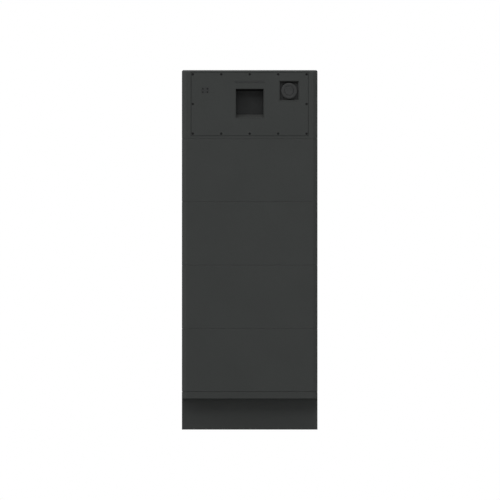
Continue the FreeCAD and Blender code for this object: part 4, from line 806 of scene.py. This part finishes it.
spring_length = SPRING_BACK - SPRING_FRONT
bpy.ops.object.select_all(action="DESELECT")
bpy.ops.mesh.primitive_circle_add(
    vertices=10, radius=WIRE_RADIUS * MM, rotation=(math.radians(90), 0, 0),
    location=(SPRING_RADIUS * MM, 0, (WIRE_RADIUS - SPRING_BACK) * MM),
)
spring = bpy.context.object
bpy.ops.object.transform_apply()
coil = spring.modifiers.new("coil", "SCREW")
coil.iterations = SPRING_TURNS
coil.screw_offset = (spring_length - 2 * WIRE_RADIUS) / SPRING_TURNS * MM
coil.steps = STEPS_A_TURN
coil.render_steps = STEPS_A_TURN
bpy.ops.object.modifier_apply(modifier=coil.name)
bpy.ops.object.mode_set(mode="EDIT")
bpy.ops.mesh.select_all(action="SELECT")
bpy.ops.mesh.fill_holes(sides=0)
bpy.ops.mesh.normals_make_consistent(inside=False)
bpy.ops.object.mode_set(mode="OBJECT")
spring = facing(spring, "button_spring_wound", button_axis, TO_FRONT)
dress(spring, spring_wire, "tower", "button_spring")
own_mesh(spring)
print("spring faces:", len(spring.data.polygons))

# %% [markdown]
# ## Levelling feet
#
# Each foot is a zinc-plated stud on a round pad that swivels flat on the floor. The thread is
# what anyone expects to see, so the stud gets rings at the thread's pitch. A true helix would
# look no different at this size and would need many more faces.

# %% List the steps of a thread
def threaded(radius_mm, low_mm, high_mm, pitch_mm, depth_mm):
    """List the outline steps of a ringed thread."""
    steps = []
    turns = int((high_mm - low_mm) / pitch_mm)
    for turn in range(turns):
        at = low_mm + turn * pitch_mm
        steps += [(radius_mm - depth_mm, at), (radius_mm, at + pitch_mm / 2)]
    return steps + [(radius_mm - depth_mm, high_mm)]


# %% Feet
UPRIGHT = (0, 0, 0)
FOOT_OUTLINE = [
    (18.6, 0), (19.6, 0.4), (20, 1.4), (20, 4.6), (19.5, 5.6), (18.5, 6.1), (9.6, 10.6), (8.4, 11),
]
FOOT_OUTLINE += threaded(6, 11.4, 61.4, pitch_mm=1.75, depth_mm=0.7) + [(4.6, 62)]

for node in ("foot_front_left", "foot_front_right", "foot_back_left", "foot_back_right"):
    low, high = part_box(node)
    pad_middle = ((low[0] + high[0]) / 2, (low[1] + high[1]) / 2, low[2])
    foot = turned("foot", FOOT_OUTLINE, sides=48)
    foot = facing(foot, f"{node}_turned", pad_middle, UPRIGHT)
    dress(foot, zinc_plate, node, node)
    print(node, len(foot.data.polygons), "faces")

# %% [markdown]
# ## The power sockets
#
# The photograph doesn't show the back, so its fittings are the plain, usual ones. Two round
# panel sockets come first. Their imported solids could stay, but it is the grip ribs, the corner
# holes and the bare sleeve deep in the bore that tell a socket from a pipe, so each is turned
# again at its packed place, and its holes are cut with boolean cutters.

# %% Model a power socket
SOCKET_LENGTH = 28  # millimetres from the panel to the socket's mouth
FLANGE_WIDTH, FLANGE_THICKNESS = 32, 3
HOLE_OFFSET = 12.2  # millimetres from the socket's axis, sideways and upwards


def power_socket(name, place):
    """A panel socket along +Y: a square flange, a ribbed barrel and an open bore."""
    barrel = turned("barrel", [
        (12, -16), (12, 3.0), (11.2, 3.6), (11.2, 6), (12, 6.6), (12, 9.6), (11.2, 10.2), (11.2, 13),
        (12, 13.6), (12, 26.8), (11.6, 27.6), (10.9, 28), (7.0, 28), (6.2, 27.2), (6.0, 26.4),
        (6.0, 18), (6.45, 18), (6.45, 6),
    ], sides=64)
    bpy.ops.object.select_all(action="DESELECT")
    bpy.ops.mesh.primitive_cube_add(size=1, location=(0, 0, FLANGE_THICKNESS / 2 * MM))
    flange = bpy.context.object
    flange.scale = (FLANGE_WIDTH * MM, FLANGE_WIDTH * MM, FLANGE_THICKNESS * MM)
    bpy.ops.object.transform_apply()
    soften(flange, 0.8, segments=3)
    corner = turned("corner", [(1.7, -2), (1.7, FLANGE_THICKNESS + 2)], sides=24)
    for x in (-HOLE_OFFSET, HOLE_OFFSET):
        for y in (-HOLE_OFFSET, HOLE_OFFSET):
            hole = corner.copy()
            hole.data = corner.data.copy()
            bpy.context.scene.collection.objects.link(hole)
            hole.location = (x * MM, y * MM, 0)
            bpy.context.view_layer.update()
            cut(flange, hole)
    bpy.data.objects.remove(corner)
    pick(flange)
    barrel.select_set(True)
    bpy.ops.object.join()
    return facing(flange, name, place, TO_BACK)


# %% Model a contact sleeve
def contact_sleeve(name, place):
    """The bare contact sleeve at the bottom of a socket's bore."""
    sleeve = turned("sleeve", [
        (6.4, 6.1), (6.4, 17.9), (6.2, 17.9), (6.02, 16.5), (6.02, 6.1),
    ], sides=48, tube=True)
    return facing(sleeve, name, place, TO_BACK)


# %% Power sockets
for number, box in enumerate(solids_of("power_sockets"), start=1):
    centre = middle_of(box)
    place = (centre.x, box[1].y - SOCKET_LENGTH * MM, centre.z)
    dress(power_socket(f"power_socket_{number}", place), filled_nylon, "tower")
    dress(contact_sleeve(f"contact_sleeve_{number}", place), bare_copper, "tower")
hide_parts("power_sockets")
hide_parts("power_sockets")

# %% [markdown]
# ## The data ports and the earth stud
#
# Beside the sockets are two shielded data ports, and an earth stud with its washer and nut. The
# ports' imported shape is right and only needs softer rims, but a port looks blind without the
# row of contacts that a plug meets. A cube for each contact could be placed by hand. A loop
# sets them at the pitch of a real port, each with softened rims. The stud is turned as the
# feet are.

# %% Model a port's contacts
CONTACTS, CONTACT_PITCH = 8, 1.27
CONTACT_PLACE = (3.78, 2.2)  # millimetres down from the port's axis and out from its panel
CONTACT_SIZE = (0.5, 0.4, 9.5)


def port_contacts(name, place):
    """Brass contacts side by side along the bottom of a port's mouth."""
    made = []
    down, out = CONTACT_PLACE
    for number in range(CONTACTS):
        bpy.ops.object.select_all(action="DESELECT")
        across = (number - (CONTACTS - 1) / 2) * CONTACT_PITCH
        bpy.ops.mesh.primitive_cube_add(size=1, location=(across * MM, down * MM, out * MM))
        tongue = bpy.context.object
        tongue.scale = tuple(side * MM for side in CONTACT_SIZE)
        bpy.ops.object.transform_apply()
        soften(tongue, 0.12)
        made.append(tongue)
    pick(made[0])
    for tongue in made:
        tongue.select_set(True)
    bpy.ops.object.join()
    return facing(made[0], name, place, TO_BACK)


# %% Data ports
PORT_LENGTH = 9  # millimetres from the panel to the port's mouth

ports = soften(merged_copy("data_ports", "data_ports_softened"), 0.3)
dress(ports, filled_nylon, "tower", "data_ports")
for number, box in enumerate(solids_of("data_ports"), start=1):
    centre = middle_of(box)
    place = (centre.x, box[1].y - PORT_LENGTH * MM, centre.z)
    dress(port_contacts(f"port_contacts_{number}", place), turned_brass, "tower")
    print("port", number, "with", CONTACTS, "contacts")

# %% Earth stud
STUD_END = 10  # millimetres from the middle of the stud to its ends

stud_low, stud_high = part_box("earth_stud")
stud_place = (
    (stud_low[0] + stud_high[0]) / 2, stud_high[1] - STUD_END * MM, (stud_low[2] + stud_high[2]) / 2,
)
stud_thread = threaded(3, -9.2, 9.2, pitch_mm=0.8, depth_mm=0.35)
stud_outline = [(2.2, -STUD_END), (2.6, -9.6)] + stud_thread + [(2.2, STUD_END)]
stud = facing(turned("stud", stud_outline, sides=32), "earth_stud_turned", stud_place, TO_BACK)
washer = turned("washer", [(6.3, 0), (6.6, 0.2), (6.6, 0.9), (6.3, 1.1)], sides=40)
nut = turned("nut", [(5.3, 1.15), (6, 1.55), (6, 4.4), (5.3, 4.8)], sides=6)
for ring, name in ((washer, "earth_washer"), (nut, "earth_nut")):
    dress(facing(ring, name, stud_place, TO_BACK), turned_brass, "tower")
dress(stud, turned_brass, "tower", "earth_stud")
print("earth stud faces:", len(stud.data.polygons))

# %% [markdown]
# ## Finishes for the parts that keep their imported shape
#
# The remaining parts are inside the closed cases or are simple enough already. They keep their
# meshes, and only their material slots are filled.

# %% Finishes by node
# A name here is the ending of a node's name, so that one row serves all four modules.
KEPT = {
    "cells": cell_can, "clamp_frame": zinc_plate, "monitor_board": solder_mask, "lid": filled_nylon,
    "foot_housings": zinc_plate, "cell_links": bare_copper, "power_busbars": bare_copper,
    "stack_plugs": filled_nylon, "stack_sockets": filled_nylon, "cover_gasket": foam,
    "light_bar_board": solder_mask, "control_board": solder_mask, "button_switch": pbt,
    "contactors": pbt, "main_fuse": pbt, "isolator_body": filled_nylon,
}

finished = []
for node, thing in frame["nodes"].items():
    ending = next((key for key in KEPT if node.endswith(key)), None)
    if ending:
        thing.data.materials.clear()
        thing.data.materials.append(KEPT[ending])
        finished.append(node)
print("nodes that keep their shape:", len(finished), "of", len(frame["nodes"]))

# %% [markdown]
# ## Camera
#
# The photograph looks straight at the front from far away: the recessed plinth is just as wide
# as the cases, so there is no perspective to speak of. A long lens from far off would come
# close. An orthographic camera fits exactly, and its scale follows from the tower's width.

# %% Camera
PICTURE_PIXELS = 500
# The tower's sides and foot in the photograph, in its pixels from the left and from the top.
TOWER_LEFT, TOWER_RIGHT = 181.9, 317.5
TOWER_FOOT = 429.6
CAMERA_DISTANCE = 5.0
metres_per_pixel = (high_corner.x - low_corner.x) / (TOWER_RIGHT - TOWER_LEFT)

camera = bpy.data.objects.new("camera", bpy.data.cameras.new("camera"))
bpy.context.scene.collection.objects.link(camera)
camera.data.type = "ORTHO"
camera.data.ortho_scale = PICTURE_PIXELS * metres_per_pixel
camera.location = (
    (PICTURE_PIXELS / 2 - (TOWER_LEFT + TOWER_RIGHT) / 2) * metres_per_pixel,
    -CAMERA_DISTANCE,
    (TOWER_FOOT - PICTURE_PIXELS / 2) * metres_per_pixel,
)
camera.rotation_euler = (math.radians(90), 0, 0)
camera.data.clip_end = 50
bpy.context.scene.camera = camera
bpy.context.scene.view_settings.view_transform = "Standard"
print("metres per pixel:", round(metres_per_pixel, 6))

# %% [markdown]
# ## Lamps
#
# The light is soft, so the lamps are large. One big lamp would do for the faces. The dark
# ceiling of the pocket, whose lower corners fade alike, tells that most light comes from above
# and straight in front. A weaker part comes from the left, because the left bevelled upright is
# lighter than the face, and the right one darker. A low lamp lifts the plinth, and one behind
# shows the back in the other views.

# %% Lamps
def soft_lamp(name, watts, size, place, aim=(0, 0, 0.6)):
    """A square area lamp that points at the tower."""
    lamp = bpy.data.objects.new(name, bpy.data.lights.new(name, "AREA"))
    bpy.context.scene.collection.objects.link(lamp)
    lamp.data.energy = watts
    lamp.data.size = size
    lamp.location = place
    lamp.rotation_euler = (Vector(aim) - Vector(place)).to_track_quat("-Z", "Y").to_euler()
    return lamp


soft_lamp("overhead", 660, 6.6, (0, -5.8, 9.4))
soft_lamp("left", 453, 6.6, (-7.4, -3.6, 7.0))
soft_lamp("low", 20, 3.4, (4.2, -4.8, 0.7), aim=(0, 0, 0.4))
soft_lamp("behind", 130, 3.4, (2.4, 4.2, 4.8))
print("lamps:", len(bpy.data.lights))

# %% [markdown]
# ## White surroundings and a floor
#
# The photograph's background is pure white, yet a world that bright would light the dark coat
# from all sides and wash its shades out. A Light Path node parts the two: the camera,
# reflections and clear plastic see white, and the surfaces are lit by a much weaker world. The
# floor is a pale plane just under the feet, which keeps the tower's shadow in the other views.

# %% World
SEEN_STRENGTH, LIGHT_STRENGTH = 1.0, 0.185


def make_world():
    """A white background for the camera and for reflections, and a softer light on the object."""
    world = bpy.data.worlds.new("studio")
    bpy.context.scene.world = world
    world.use_nodes = True
    tree = world.node_tree
    tree.nodes.clear()
    path = add(tree, "LightPath")
    rays = [path.outputs[f"Is {kind} Ray"] for kind in ("Camera", "Glossy", "Transmission")]
    seen = add(tree, "Math", {"Value": rays[0], "Value_001": rays[1]}, operation="MAXIMUM")
    seen = add(tree, "Math", {"Value": seen, "Value_001": rays[2]}, operation="MAXIMUM")
    shown = add(tree, "Background", Color=(1, 1, 1, 1), Strength=SEEN_STRENGTH)
    light = add(tree, "Background", Color=(1, 1, 1, 1), Strength=LIGHT_STRENGTH)
    mixed = add(tree, "MixShader", {"Fac": seen, "Shader": light, "Shader_001": shown})
    add(tree, "OutputWorld", {"Surface": mixed})


make_world()
print("world:", bpy.context.scene.world.name)

# %% Floor
FLOOR_SIZE, FLOOR_DROP = 60, 0.0005  # metres


def make_floor():
    """A pale floor that keeps the tower's shadow; the camera looks along it, so it isn't seen."""
    bpy.ops.object.select_all(action="DESELECT")
    bpy.ops.mesh.primitive_plane_add(size=FLOOR_SIZE, location=(0, 0, -FLOOR_DROP))
    floor = bpy.context.object
    floor.name = "floor"
    material, tree, shader, place = start_finish("pale_floor", Roughness=0.9, Specular_IOR_Level=0.1)
    cloud = add(tree, "TexNoise", {"Vector": place}, Scale=per_mm(400))
    colour = add(
        tree, "Mix", {"Factor_Float": cloud}, data_type="RGBA",
        A_Color=linear("#D8D8D8"), B_Color=linear("#E0E0E0"),
    )
    feed(tree, shader, {"Base Color": colour})
    floor.data.materials.append(material)


make_floor()
print("floor width in metres:", FLOOR_SIZE)
